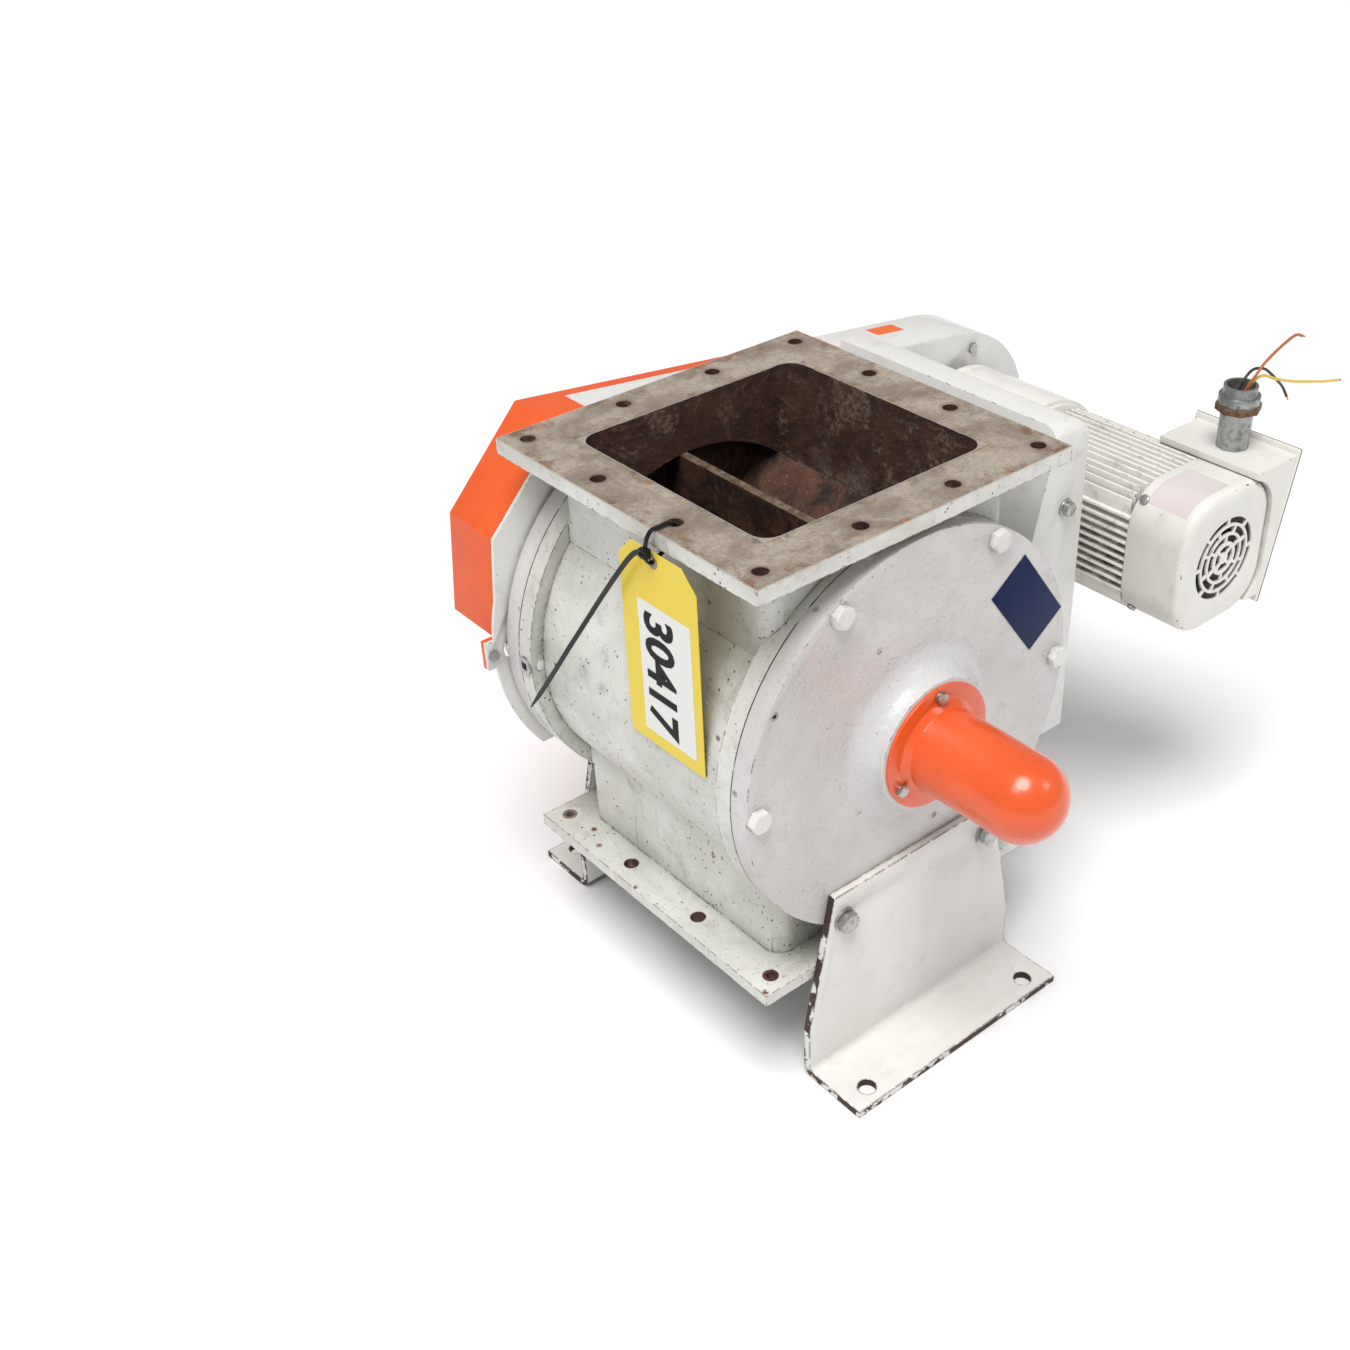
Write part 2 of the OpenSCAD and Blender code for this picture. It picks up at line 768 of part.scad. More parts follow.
module shaft_guard_screws() {
    color("silver") to_front() at_shaft() for (a = dome_screw_angles) turned(a)
        translate([dome_screw_circle_r, 0, 0])
            hex_screw_y(hub_face + dome_wall, 1.7 * dome_screw_d, dome_head_h, dome_screw_d, dome_screw_len);
}

// ---------- Foot brackets ----------

foot_face_outline = [
    [foot_top_x, foot_top_z], [-foot_top_x, foot_top_z], [-foot_x, -foot_slope_drop],
    [-foot_x, -foot_drop], [foot_x, -foot_drop], [foot_x, -foot_slope_drop]
];

// The bent strip seen from the side, with both bend radii
foot_side_outline = concat(
    [[plate_face, foot_top_z], [foot_face, foot_top_z]],
    arc([foot_face + foot_bend_r - foot_t, -foot_drop + foot_bend_r], foot_bend_r - foot_t, 180, 270, 6),
    [[plate_face + foot_len, -foot_drop + foot_t], [plate_face + foot_len, -foot_drop]],
    arc([plate_face + foot_bend_r, -foot_drop + foot_bend_r], foot_bend_r, 270, 180, 6)
);

module foot_bracket() {
    difference() {
        intersection() {
            slab_x(-foot_x, foot_x) polygon(foot_side_outline);
            slab_y(plate_face - eps, plate_face + foot_len + eps) polygon(foot_face_outline);
        }
        on_bolt_circle(foot_bolt_angles)
            rod_y(bolt_d / 2 + hole_clear, plate_face - eps, foot_face + eps);
        for (x = [-foot_hole_x, foot_hole_x])
            translate([x, plate_face + foot_hole_out, -foot_drop - eps])
                cylinder(d = foot_hole_d, h = foot_t + 2 * eps);
    }
}

module front_foot_bracket() {
    color("white") to_front() foot_bracket();
}

module rear_foot_bracket() {
    color("white") foot_bracket();
}

module foot_bracket_bolts() {
    color("silver") front_and_rear() on_bolt_circle(foot_bolt_angles)
        hex_screw_y(foot_face + washer_t, bolt_af, bolt_head_h, bolt_d, washer_t + foot_t + plate_t + ring_t);
}

module foot_bracket_washers() {
    color("silver") front_and_rear() on_bolt_circle(foot_bolt_angles)
        tube_y(washer_r, bolt_d / 2 + slip, foot_face, foot_face + washer_t);
}

module nameplate() {
    color("navy") at_shaft() translate([nameplate_at[0], -plate_face - nameplate_t, nameplate_at[1]])
        turned(nameplate_angle) translate([-nameplate_w / 2, 0, -nameplate_len / 2])
            cube([nameplate_w, nameplate_t, nameplate_len]);
}

// ---------- Chain guard ----------

module guard_back_plate() {
    color("white") difference() {
        union() {
            slab_y(guard_y, guard_y1) polygon(guard_outline);
            intersection() {
                at_shaft() rod_y(back_plate_r, guard_y, guard_y1);
                translate([-2 * ring_r, guard_y - eps, guard_corner_d[1]])
                    cube([2 * ring_r, guard_depth, 2 * ring_r]);
            }
            latch_lug(guard_y, guard_y1);
        }
        at_shaft() rod_y(hub_r + hub_flare + eps, guard_y - eps, guard_y1 + eps);
        at_drive() rod_y(output_boss_r + slip, guard_y - eps, guard_y1 + eps);
        on_bolt_circle(guard_bolt_angles) rod_y(bolt_d / 2 + hole_clear, guard_y - eps, guard_y1 + eps);
        on_bolt_circle(rear_bolt_angles) rod_y(bolt_af / 2 + 3, guard_y - eps, guard_y1 + eps);
        for (p = mount_bolts) translate([p[0], 0, p[1]])
            rod_y(mount_bolt_d / 2 + hole_clear, guard_y - eps, guard_y1 + eps);
        for (p = concat(guard_tabs, [latch_at])) guard_hole(p, hole_clear, guard_y, guard_y1);
    }
}

module guard_spacers() {
    color("silver") on_bolt_circle(guard_bolt_angles)
        tube_y(bolt_af / 2 + 3, bolt_d / 2 + hole_clear, plate_face, guard_y);
}

module guard_plate_bolts() {
    color("silver") on_bolt_circle(guard_bolt_angles)
        hex_screw_y(guard_y1, bolt_af, bolt_head_h, bolt_d, guard_y1 - body_half + ring_t);
}

// The whole sheet shell of the guard, before it is parted into cover and hood
module guard_shell() {
    difference() {
        slab_y(guard_y1, guard_face) polygon(guard_outline);
        slab_y(guard_y1 - eps, guard_face - guard_wall) polygon(inset(guard_outline, guard_wall));
    }
}

// Hole for a guard screw through the tab at p, or through the back plate behind it
module guard_hole(p, clear, y0, y1) {
    translate([p[0], 0, p[1]]) rod_y(guard_screw_d / 2 + clear, y0 - eps, y1 + eps);
}

// Welded tab with a tapped hole that takes one guard screw; it runs down from the screw by drop
module guard_tab(p, drop) {
    difference() {
        intersection() {
            translate([p[0] - tab_size / 2, guard_y1, p[1] - drop])
                cube([tab_size, tab_t, tab_size + tab_reach]);
            slab_y(guard_y1, guard_y1 + tab_t) polygon(inset(guard_outline, guard_wall / 2));
        }
        guard_hole(p, thread, guard_y1, guard_y1 + tab_t);
    }
}

// Lug at the guard's far end, where its latch screw sits
module latch_lug(y0, y1) {
    translate([latch_x - latch_w / 2, y0, shaft_z - latch_h / 2]) cube([latch_w, y1 - y0, latch_h]);
}

// Everything on the valve's side of the joint between cover and hood
module cover_side() {
    translate([-3 * ring_r, 0, -height]) cube([3 * ring_r + hood_split_x, 2 * guard_face, 3 * height]);
}

module chain_guard_cover() {
    color("orangered") {
        intersection() {
            guard_shell();
            cover_side();
        }
        guard_tab(guard_tabs[0], tab_size);
        guard_tab(guard_tabs[1], tab_size);
        difference() {
            latch_lug(guard_y1, guard_y1 + tab_t);
            guard_hole(latch_at, thread, guard_y1, guard_face);
        }
    }
}

module chain_guard_hood() {
    color("white") {
        difference() {
            guard_shell();
            cover_side();
        }
        guard_tab(guard_tabs[2], tab_size);
        guard_tab(guard_tabs[3], tab_reach);
    }
}

module guard_screws() {
    color("silver") to_front() for (p = concat(guard_tabs, [latch_at])) translate([p[0], 0, p[1]])
        hex_screw_y(-guard_y, 1.7 * guard_screw_d, guard_head_h, guard_screw_d, back_t + tab_t);
}

// ---------- Chain drive ----------

// One tooth space: the seat of a roller and the flanks beside it
function tooth_space(pitch_r, teeth, i) =
    let (a = i * 360 / teeth, seat = (roller_r + seat_clear) / cos(10), tip_r = pitch_r + tooth_rise)
    concat(
        [turn([tip_r, -tooth_gap], a)],
        [for (b = [-60:20:60]) turn([pitch_r - seat * cos(b), seat * sin(b)], a)],
        [turn([tip_r, tooth_gap], a)]
    );
function turn(p, a) = [p[0] * cos(a) - p[1] * sin(a), p[0] * sin(a) + p[1] * cos(a)];
function sprocket_outline(pitch_r, teeth) = [for (i = [0:teeth - 1], p = tooth_space(pitch_r, teeth, i)) p];

module sprocket(pitch_r, teeth, phase, hub_outer, bore) {
    difference() {
        union() {
            turned(phase) slab_y(chain_y - tooth_w / 2, chain_y + tooth_w / 2)
                polygon(sprocket_outline(pitch_r, teeth));
            rod_y(hub_outer, chain_y - sprocket_hub_y, chain_y + sprocket_hub_end);
        }
        rod_y(bore + fit, chain_y - 2 * sprocket_hub_y, chain_y + 2 * sprocket_hub_y);
        key_block(bore, fit);
    }
}

module driven_sprocket() {
    color("dimgray") at_shaft() sprocket(driven_r, driven_teeth, top_angle, driven_hub_r, shaft_r);
}

module drive_sprocket() {
    color("dimgray") at_drive() sprocket(drive_r, drive_teeth, drive_phase, drive_hub_r, output_r);
}

module driven_key() {
    color("silver") at_shaft() key_block(shaft_r, 0);
}

module drive_key() {
    color("silver") at_drive() key_block(output_r, 0);
}

// Flat link plate round two chain points, in the XZ plane
module link_plate(a, b, y) {
    tilt = atan2(b[1] - a[1], b[0] - a[0]);
    slab_y(y, y + link_t) polygon(concat(
        arc(a, link_r, tilt + 90, tilt + 270, 6),
        arc(b, link_r, tilt - 90, tilt + 90, 6)
    ));
}

module inner_link(a, b) {
    half = roller_w / 2;
    difference() {
        union() {
            for (y = [chain_y - half - link_t, chain_y + half]) link_plate(a, b, y);
            for (p = [a, b]) translate([p[0], 0, p[1]])
                rod_y(roller_r, chain_y - half - link_t / 2, chain_y + half + link_t / 2);
        }
        for (p = [a, b]) translate([p[0], 0, p[1]])
            rod_y(pin_r + run, chain_y - half - 2 * link_t, chain_y + half + 2 * link_t);
    }
}

module outer_link(a, b) {
    half = roller_w / 2 + link_t + run;
    for (y = [chain_y - half - link_t, chain_y + half]) link_plate(a, b, y);
    for (p = [a, b]) translate([p[0], 0, p[1]])
        rod_y(pin_r, chain_y - half - link_t - 1, chain_y + half + link_t + 1);
}

module roller_chain() {
    color("dimgray") for (k = [0:2:chain_links - 2]) {
        inner_link(chain_point(k), chain_point(k + 1));
        outer_link(chain_point(k + 1), chain_point((k + 2) % chain_links));
    }
}

// ---------- Drive mount ----------

function mount_face_outline(d) = concat(
    arc([mount_right_x - mount_edge_r, mount_top_z - mount_edge_r], mount_edge_r - d, 0, 90, 8),
    [[mount_top_left_x + d, mount_top_z - d], [mount_left_x + d, mount_slope_z],
        [mount_left_x + d, mount_bottom_z], [mount_right_x - d, mount_bottom_z]]
);

function mount_side_outline(d) = concat(
    [[guard_y - d, mount_bottom_z], [guard_y - d, mount_top_z - d]],
    arc([-mount_front_y + mount_edge_r, mount_top_z - mount_edge_r], mount_edge_r - d, 90, 180, 8),
    [[-mount_front_y + d, mount_bottom_z]]
);

module mount_solid(d) {
    intersection() {
        slab_y(-mount_front_y, guard_y) polygon(mount_face_outline(d));
        slab_x(mount_left_x, mount_right_x) polygon(mount_side_outline(d));
    }
}

module drive_mount() {
    color("whitesmoke") difference() {
        mount_solid(0);
        translate([0, 0, -eps]) mount_solid(mount_wall);
        for (p = mount_bolts) translate([p[0], 0, p[1]])
            rod_y(mount_bolt_d / 2 + thread, guard_y - 2 * mount_wall, guard_y + eps);
        translate([clamp_at[0], 0, clamp_at[1]])
            rod_y(clamp_d / 2 + thread, -mount_front_y - eps, -mount_front_y + 2 * mount_wall);
        for (y = reducer_foot_y, z = reducer_foot_bolt_z) translate([0, y, drive_z + z])
            rod_x(reducer_foot_bolt_d / 2 + thread, mount_right_x - 2 * mount_wall, mount_right_x + eps);
    }
}

module drive_mount_bolts() {
    color("silver") for (p = mount_bolts) translate([p[0], 0, p[1]])
        hex_screw_y(guard_y1, 1.6 * mount_bolt_d, 6.5, mount_bolt_d, back_t + mount_wall);
}

module mount_clamp_bolt() {
    color("silver") to_front() translate([clamp_at[0], 0, clamp_at[1]]) {
        hex_screw_y(mount_front_y + 2, 1.6 * clamp_d, 6, clamp_d, mount_wall + 2);
        rod_y(clamp_d + 1, mount_front_y, mount_front_y + 2);
    }
}

// ---------- Gear reducer ----------

module reducer_housing() {
    foot_x0 = mount_right_x - drive_x;
    color("ivory") difference() {
        union() {
            at_drive() rod_y(reducer_r, reducer_y, reducer_y1);
            translate([mount_right_x, reducer_foot_y[0] - 16, drive_z - reducer_foot_h / 2])
                cube([reducer_foot_t, reducer_foot_y[1] - reducer_foot_y[0] + 32, reducer_foot_h]);
            for (z = [-48, 24]) translate([mount_right_x, reducer_foot_y[0] - 6, drive_z + z])
                cube([-foot_x0 - reducer_r / 2, reducer_foot_y[1] - reducer_foot_y[0] + 12, 24]);
        }
        at_drive() {
            rod_y(reducer_r - reducer_wall, reducer_y + 8, reducer_y1 - reducer_rim);
            rod_y(reducer_r - reducer_rim + 5, reducer_y1 - reducer_rim - eps, reducer_y1 + eps);
            rod_y(motor_shaft_r + eps, reducer_y - eps, reducer_y + 10);
            translate([0, 0, -gear_centres]) rod_y(layshaft_r + run, reducer_y + 2, reducer_y + 10);
            for (a = cover_bolt_angles) turned(a) translate([cover_bolt_r, 0, 0])
                rod_y(reducer_bolt_d / 2 + thread, reducer_y1 - 12, reducer_y1 + eps);
            for (a = flange_bolt_angles) turned(a) translate([flange_bolt_r, 0, 0])
                rod_y(reducer_bolt_d / 2 + thread, reducer_y - eps, reducer_y + 7.5);
        }
        for (y = reducer_foot_y, z = reducer_foot_bolt_z) translate([0, y, drive_z + z])
            rod_x(reducer_foot_bolt_d / 2 + hole_clear, mount_right_x - eps, mount_right_x + reducer_foot_t + eps);
    }
}

module reducer_cover() {
    color("ivory") at_drive() difference() {
        union() {
            rod_y(reducer_r, reducer_y1, reducer_face);
            rod_y(output_boss_r, reducer_face, boss_face);
        }
        rod_y(output_r + eps, reducer_y1 - eps, boss_face + eps);
        rod_y(output_bearing_r + fit, reducer_y1 - eps, boss_face - 3);
        translate([0, 0, -gear_centres]) rod_y(layshaft_r + run, reducer_y1 - eps, reducer_y1 + 5);
        for (a = cover_bolt_angles) turned(a) translate([cover_bolt_r, 0, 0])
            rod_y(reducer_bolt_d / 2 + hole_clear, reducer_y1 - eps, reducer_face + eps);
    }
}

module reducer_bolts() {
    color("silver") at_drive() {
        for (a = cover_bolt_angles) turned(a) translate([cover_bolt_r, 0, 0])
            hex_screw_y(reducer_face, reducer_bolt_af, 4.5, reducer_bolt_d, reducer_cover_t + 11);
        for (a = flange_bolt_angles) turned(a) translate([flange_bolt_r, 0, 0]) to_front()
            hex_screw_y(-motor_y, reducer_bolt_af, 4.5, reducer_bolt_d, motor_flange_t + 7);
    }
}

module reducer_foot_bolts() {
    color("silver") for (y = reducer_foot_y, z = reducer_foot_bolt_z)
        translate([mount_right_x + reducer_foot_t, y, drive_z + z]) rotate([0, 90, 0])
            hex_screw(1.6 * reducer_foot_bolt_d, 6.5, reducer_foot_bolt_d, reducer_foot_t + mount_wall);
}

// Spur gear outline with straight-sided teeth; phase is the angle of one tooth
function gear_tooth(teeth, i) =
    let (pitch_r = gear_module * teeth / 2, root = pitch_r - 1.3 * gear_module,
        tip = pitch_r + 0.84 * gear_module, half = gear_module * PI / 4 - gear_backlash,
        lean = tan(20), a = i * 360 / teeth)
    [turn([root, -half - (pitch_r - root) * lean], a), turn([tip, -half + (tip - pitch_r) * lean], a),
        turn([tip, half - (tip - pitch_r) * lean], a), turn([root, half + (pitch_r - root) * lean], a)];

module gear(teeth, phase, y0, y1) {
    turned(phase) slab_y(y0, y1) polygon([for (i = [0:teeth - 1], p = gear_tooth(teeth, i)) p]);
}

// Phase that puts a tooth space where the pinion's tooth lies
half_tooth = 180 / gear_teeth;

module output_bearing() {
    color("silver") at_drive() tube_y(output_bearing_r, output_r + run, reducer_y1 + slip, boss_face - 3 - slip);
}

module output_shaft() {
    color("silver") at_drive() difference() {
        rod_y(output_r, second_stage_y - 6, shaft_rear_y);
        key_block(output_r, fit);
    }
}

module output_gear() {
    color("gold") at_drive() difference() {
        gear(gear_teeth, 270 + half_tooth, second_stage_y, second_stage_y + gear_w);
        rod_y(output_r + fit, reducer_y, reducer_y1);
    }
}

module layshaft() {
    color("goldenrod") at_drive() translate([0, 0, -gear_centres]) {
        rod_y(layshaft_r, reducer_y + 2 + slip, second_stage_y - 4);
        rod_y(layshaft_r * 0.72, second_stage_y - 5, second_stage_y + gear_w + 5);
        rod_y(layshaft_r, second_stage_y + gear_w + 4, reducer_y1 + 5 - slip);
        gear(gear_teeth, 90 + half_tooth, first_stage_y, first_stage_y + gear_w);
        gear(pinion_teeth, 90, second_stage_y - 1, second_stage_y + gear_w + 1);
    }
}

// ---------- Motor ----------

module motor_shaft() {
    color("silver") at_drive() {
        rod_y(motor_shaft_r, fan_y - fan_w / 2 - 2, first_stage_y - 2);
        rod_y(3.5, first_stage_y - 3, first_stage_y + gear_w + 1);
        gear(pinion_teeth, 270, first_stage_y - 1, first_stage_y + gear_w + 1);
    }
}

module motor_rotor_core() {
    color("gray") at_drive() tube_y(core_r, motor_shaft_r + fit, motor_back + 36, motor_y - 36);
}

module motor_stator() {
    color("peru") at_drive() {
        tube_y(stator_r, core_r + air_gap, motor_back + 36, motor_y - 36);
        tube_y(stator_r - 5, core_r + 6, motor_back + 20, motor_back + 36);
        tube_y(stator_r - 5, core_r + 6, motor_y - 36, motor_y - 20);
    }
}

function rounded_reach(offset, half, corner) =
    abs(offset) <= corner ? half :
    half - motor_corner_r + sqrt(pow(motor_corner_r, 2) - pow(abs(offset) - corner, 2));

// Rounded square section of the motor, smaller by d on every side
module motor_section(d) {
    r = motor_corner_r - d;
    polygon(concat(
        arc([corner_x, corner_z], r, 0, 90, 10), arc([-corner_x, corner_z], r, 90, 180, 10),
        arc([-corner_x, -corner_z], r, 180, 270, 10), arc([corner_x, -corner_z], r, 270, 360, 10)
    ));
}

module motor_frame() {
    start = motor_tube_r * 0.68;
    color("ivory") at_drive() difference() {
        union() {
            rod_y(motor_tube_r, motor_back, motor_y);
            for (i = [0:fins_per_side - 1]) {
                s = fin_span * (i / (fins_per_side - 1) - 0.5);
                side = rounded_reach(s, motor_half_w, corner_z);
                rise = rounded_reach(s, motor_half_h, corner_x);
                for (k = [-1, 1]) {
                    translate([k > 0 ? start : -side, motor_back, s - fin_t / 2])
                        cube([side - start, motor_frame_len, fin_t]);
                    translate([s - fin_t / 2, motor_back, k > 0 ? start : -rise])
                        cube([fin_t, motor_frame_len, rise - start]);
                }
            }
        }
        rod_y(motor_tube_r - motor_tube_wall, motor_back - eps, motor_y + eps);
    }
}

// Children along the screw axes of the fan cover, with +X outwards
module on_fan_lugs() {
    for (p = fan_lugs) translate([p[0], lug_y, p[1]]) turned(p[2]) children();
}

module motor_end_bells() {
    color("ivory") at_drive() difference() {
        union() {
            rod_y(motor_flange_r, motor_y, reducer_y);
            rod_y(motor_tube_r - motor_tube_wall - fit, motor_y - bearing_t, motor_y);
            rod_y(motor_tube_r - motor_tube_wall - fit, motor_back, bell_y);
            rod_y(motor_tube_r - 2, motor_back - 2, motor_back);
            on_fan_lugs() translate([-14, -lug_half, -lug_half])
                cube([14 + motor_corner_r - fan_cover_wall - 3 * slip, 2 * lug_half, 2 * lug_half]);
            tube_y(motor_tube_r - 2, motor_shaft_r + 10, motor_back - 12, motor_back - 1);
        }
        rod_y(motor_shaft_r + eps, lug_y - 20, reducer_y + eps);
        rod_y(bearing_r + fit, motor_y - bearing_t - eps, motor_y);
        rod_y(bearing_r + fit, bell_y - bearing_t + 2, bell_y + eps);
        on_fan_lugs() rod_x(cover_screw_d / 2 + thread, motor_corner_r - 14, motor_corner_r);
        for (a = flange_bolt_angles) turned(a) translate([flange_bolt_r, 0, 0])
            rod_y(reducer_bolt_d / 2 + slip, motor_y - eps, reducer_y + eps);
    }
}

module motor_bearings() {
    color("silver") at_drive() {
        tube_y(bearing_r, motor_shaft_r + run, motor_y - bearing_t, motor_y - slip);
        tube_y(bearing_r, motor_shaft_r + run, bell_y - bearing_t + 2 + slip, bell_y);
    }
}

module cooling_fan() {
    color("black") at_drive() difference() {
        union() {
            rod_y(motor_shaft_r + 6, fan_y - fan_w / 2, fan_y + fan_w / 2);
            rod_y(motor_tube_r - 6, fan_y + fan_w / 2 - 2, fan_y + fan_w / 2);
            for (i = [0:7]) turned(i * 45) translate([motor_shaft_r + 2, fan_y - fan_w / 2, -1])
                cube([motor_tube_r - motor_shaft_r - 10, fan_w - 1, 2]);
        }
        rod_y(motor_shaft_r + fit, fan_y - fan_w, fan_y + fan_w);
    }
}

// One ring of arc slots, parted by bars
module slot_ring(inner, outer, bars, phase) {
    difference() {
        tube_y(outer, inner, fan_cover_face - eps, fan_cover_face + fan_cover_wall + eps);
        for (i = [0:bars - 1]) turned(phase + i * 360 / bars)
            translate([0, fan_cover_face - 2 * eps, -1.6]) cube([grille_r + 4, fan_cover_wall + 4 * eps, 3.2]);
    }
}

module fan_cover() {
    color("ivory") at_drive() difference() {
        slab_y(fan_cover_face, fan_cover_y0) motor_section(0);
        slab_y(fan_cover_face + fan_cover_wall, fan_cover_y0 + eps) motor_section(fan_cover_wall);
        slot_ring(grille_r * 0.14, grille_r * 0.30, 4, 45);
        slot_ring(grille_r * 0.40, grille_r * 0.56, 6, 30);
        slot_ring(grille_r * 0.63, grille_r * 0.78, 8, 22.5);
        slot_ring(grille_r * 0.85, grille_r, 8, 0);
        on_fan_lugs() rod_x(cover_screw_d / 2 + slip, motor_corner_r - 6, motor_corner_r + 6);
    }
}

module fan_cover_screws() {
    color("silver") at_drive() on_fan_lugs() {
        rod_x(cover_screw_d / 2, motor_corner_r - cover_screw_len, motor_corner_r);
        rod_x(cover_screw_d, motor_corner_r, motor_corner_r + cover_head_h);
    }
}

// ---------- Terminal box ----------

// Outline of the box seen from the front, with the tilted outer side
function box_outline(d) =
    let (side = polar(box_side_len, 90 - box_tilt), away = box_reach - 39)
    [box_base + [-d, d], box_base + side + [-d * 1.25, -d],
        [away + 8 + d, box_top - d], [away + d, -box_drop + d]];

module box_solid(d) {
    difference() {
        slab_y(-box_y1 + d, -box_y0 - d) polygon(box_outline(d));
        slab_y(-box_y1 - eps, -box_y0 + eps) motor_section(-box_gap - d);
    }
}

module terminal_box() {
    side_normal = [cos(box_tilt), -sin(box_tilt)];
    color("ivory") at_drive() difference() {
        box_solid(0);
        box_solid(box_wall);
        translate([box_base[0], 0, box_base[1]]) rotate([0, box_tilt, 0])
            translate([-box_wall - 3, -box_y1 + box_wall, box_side_len * 0.5])
                cube([box_wall + 6, box_len - 2 * box_wall, box_side_len * 0.42]);
        translate([conduit_at[0], conduit_at[1], 0])
            cylinder(r = conduit_r - 4 + thread, h = box_top + eps);
    }
}

module terminal_box_cover() {
    color("ivory") at_drive() translate([box_base[0], 0, box_base[1]]) rotate([0, box_tilt, 0])
        translate([0, -box_y1 - 1, -9]) cube([box_cover_t, box_len + 6, box_side_len + 15]);
}

module terminal_cover_screws() {
    color("silver") at_drive() translate([box_base[0], 0, box_base[1]]) rotate([0, box_tilt, 0])
        for (y = [-box_y1 + 6, -box_y0 - 6], z = [2, box_side_len - 4]) translate([0, y, z])
            rod_x(3.5, box_cover_t, box_cover_t + 1.5);
}

module conduit_tube(r, z0, z1, sides) {
    difference() {
        translate([0, 0, z0]) cylinder(r = r, h = z1 - z0, $fn = sides);
        translate([0, 0, z0 - eps]) cylinder(r = conduit_bore_r - 3, h = z1 - z0 + 2 * eps);
    }
}

module conduit_connector() {
    color("silver") at_drive() translate([conduit_at[0], conduit_at[1], box_top]) {
        conduit_tube(conduit_r, 0, conduit_body_h, 8);
        conduit_tube(conduit_r - 4, -box_wall, 1, 64);
        difference() {
            union() {
                translate([0, 0, conduit_body_h + locknut_h]) cylinder(r = collar_r, h = collar_h);
                translate([0, 0, conduit_body_h - 1]) cylinder(r = nipple_r, h = locknut_h + collar_h + nipple_h + 1);
            }
            translate([0, 0, conduit_body_h + 2])
                cylinder(r = conduit_bore_r, h = locknut_h + collar_h + nipple_h + 5);
        }
    }
}

module conduit_locknut() {
    color("sienna") at_drive() translate([conduit_at[0], conduit_at[1], box_top + conduit_body_h]) difference() {
        cylinder(r = locknut_r, h = locknut_h, $fn = 8);
        translate([0, 0, -eps]) cylinder(r = nipple_r + thread, h = locknut_h + 2 * eps);
    }
}

// ---------- Wire leads ----------

function spline(p0, p1, p2, p3, t) = 0.5 * ((2 * p1) + (p2 - p0) * t
    + (2 * p0 - 5 * p1 + 4 * p2 - p3) * t * t + (3 * p1 - p0 - 3 * p2 + p3) * t * t * t);
function at_end(p, i) = p[max(0, min(len(p) - 1, i))];
function smooth_route(p) = concat([for (i = [0:len(p) - 2], k = [0:rings_per_step - 1])
    spline(at_end(p, i - 1), p[i], p[i + 1], at_end(p, i + 2), k / rings_per_step)], [p[len(p) - 1]]);

// A tube along a route that keeps the side direction of its rings level
module swept_cord(route, r, sides) {
    p = smooth_route(route);
    n = len(p);
    function dir(i) = unit(p[min(n - 1, i + 1)] - p[max(0, i - 1)]);
    function side(i) = unit(cross([0, 1, 0], dir(i)));
    points = [for (i = [0:n - 1], k = [0:sides - 1])
        p[i] + r * (cos(k * 360 / sides) * side(i) + sin(k * 360 / sides) * cross(dir(i), side(i)))];
    faces = concat(
        [[for (k = [0:sides - 1]) k]],
        [for (i = [0:n - 2], k = [0:sides - 1]) let (m = (k + 1) % sides)
            [i * sides + k, (i + 1) * sides + k, (i + 1) * sides + m, i * sides + m]],
        [[for (k = [sides - 1:-1:0]) (n - 1) * sides + k]]
    );
    polyhedron(points, faces);
}

module lead_yellow() {
    color("khaki") swept_cord(yellow_route, lead_r, 8);
}

module lead_orange() {
    color("orange") swept_cord(orange_route, lead_r, 8);
}

module lead_black() {
    color("dimgray") swept_cord(black_route, lead_r, 8);
}

// ---------- Tag and tie ----------

module hang_tag() {
    outline = [
        [tag_y[0], tag_top - tag_len], [tag_y[1], tag_top - tag_len], [tag_y[1], tag_top - tag_clip],
        [tag_y[1] - tag_clip, tag_top], [tag_y[0] + tag_clip, tag_top], [tag_y[0], tag_top - tag_clip]
    ];
    color("yellow") difference() {
        slab_x(tag_x, tag_x + tag_t) polygon(outline);
        translate([0, tie_y, tag_top - eyelet_drop]) rod_x(eyelet_r, tag_x - eps, tag_x + tag_t + eps);
    }
}

// A flat strap between two points, with its width along Y
module strap(a, b) {
    d = b - a;
    flat = norm([d[0], d[1]]);
    translate(a) rotate([0, 0, atan2(d[1], d[0])]) rotate([0, -atan2(d[2], flat), 0])
        translate([0, -tie_w / 2, -tie_t / 2]) cube([norm(d), tie_w, tie_t]);
}

module cable_tie() {
    hole_x = -1.5 * hole_pitch;
    over = height + tie_t / 2 + tie_gap;
    under = height - inlet_t - tie_t / 2 - tie_gap;
    eyelet_z = tag_top - eyelet_drop;
    head_at = [tie_loop_x - tie_head[0] / 2, tie_y + 2, height - 16];
    color("black") {
        strap([hole_x + tie_t / 2, tie_y, over], [tie_x - tie_t / 2, tie_y, over]);
        strap([hole_x, tie_y, under - tie_t / 2], [hole_x, tie_y, over + tie_t / 2]);
        strap([hole_x + tie_t / 2, tie_y, under], [tie_loop_x, tie_y, eyelet_z]);
        strap([tie_loop_x, tie_y, eyelet_z - 1], [tie_loop_x, tie_y, over + tie_t / 2]);
        strap([tie_loop_x - tie_t / 2, tie_y, over], [tie_x, tie_y, over]);
        translate(head_at) cube(tie_head);
        strap(head_at + tie_head / 2, tie_tail[0]);
        strap(tie_tail[0], tie_tail[1]);
    }
}

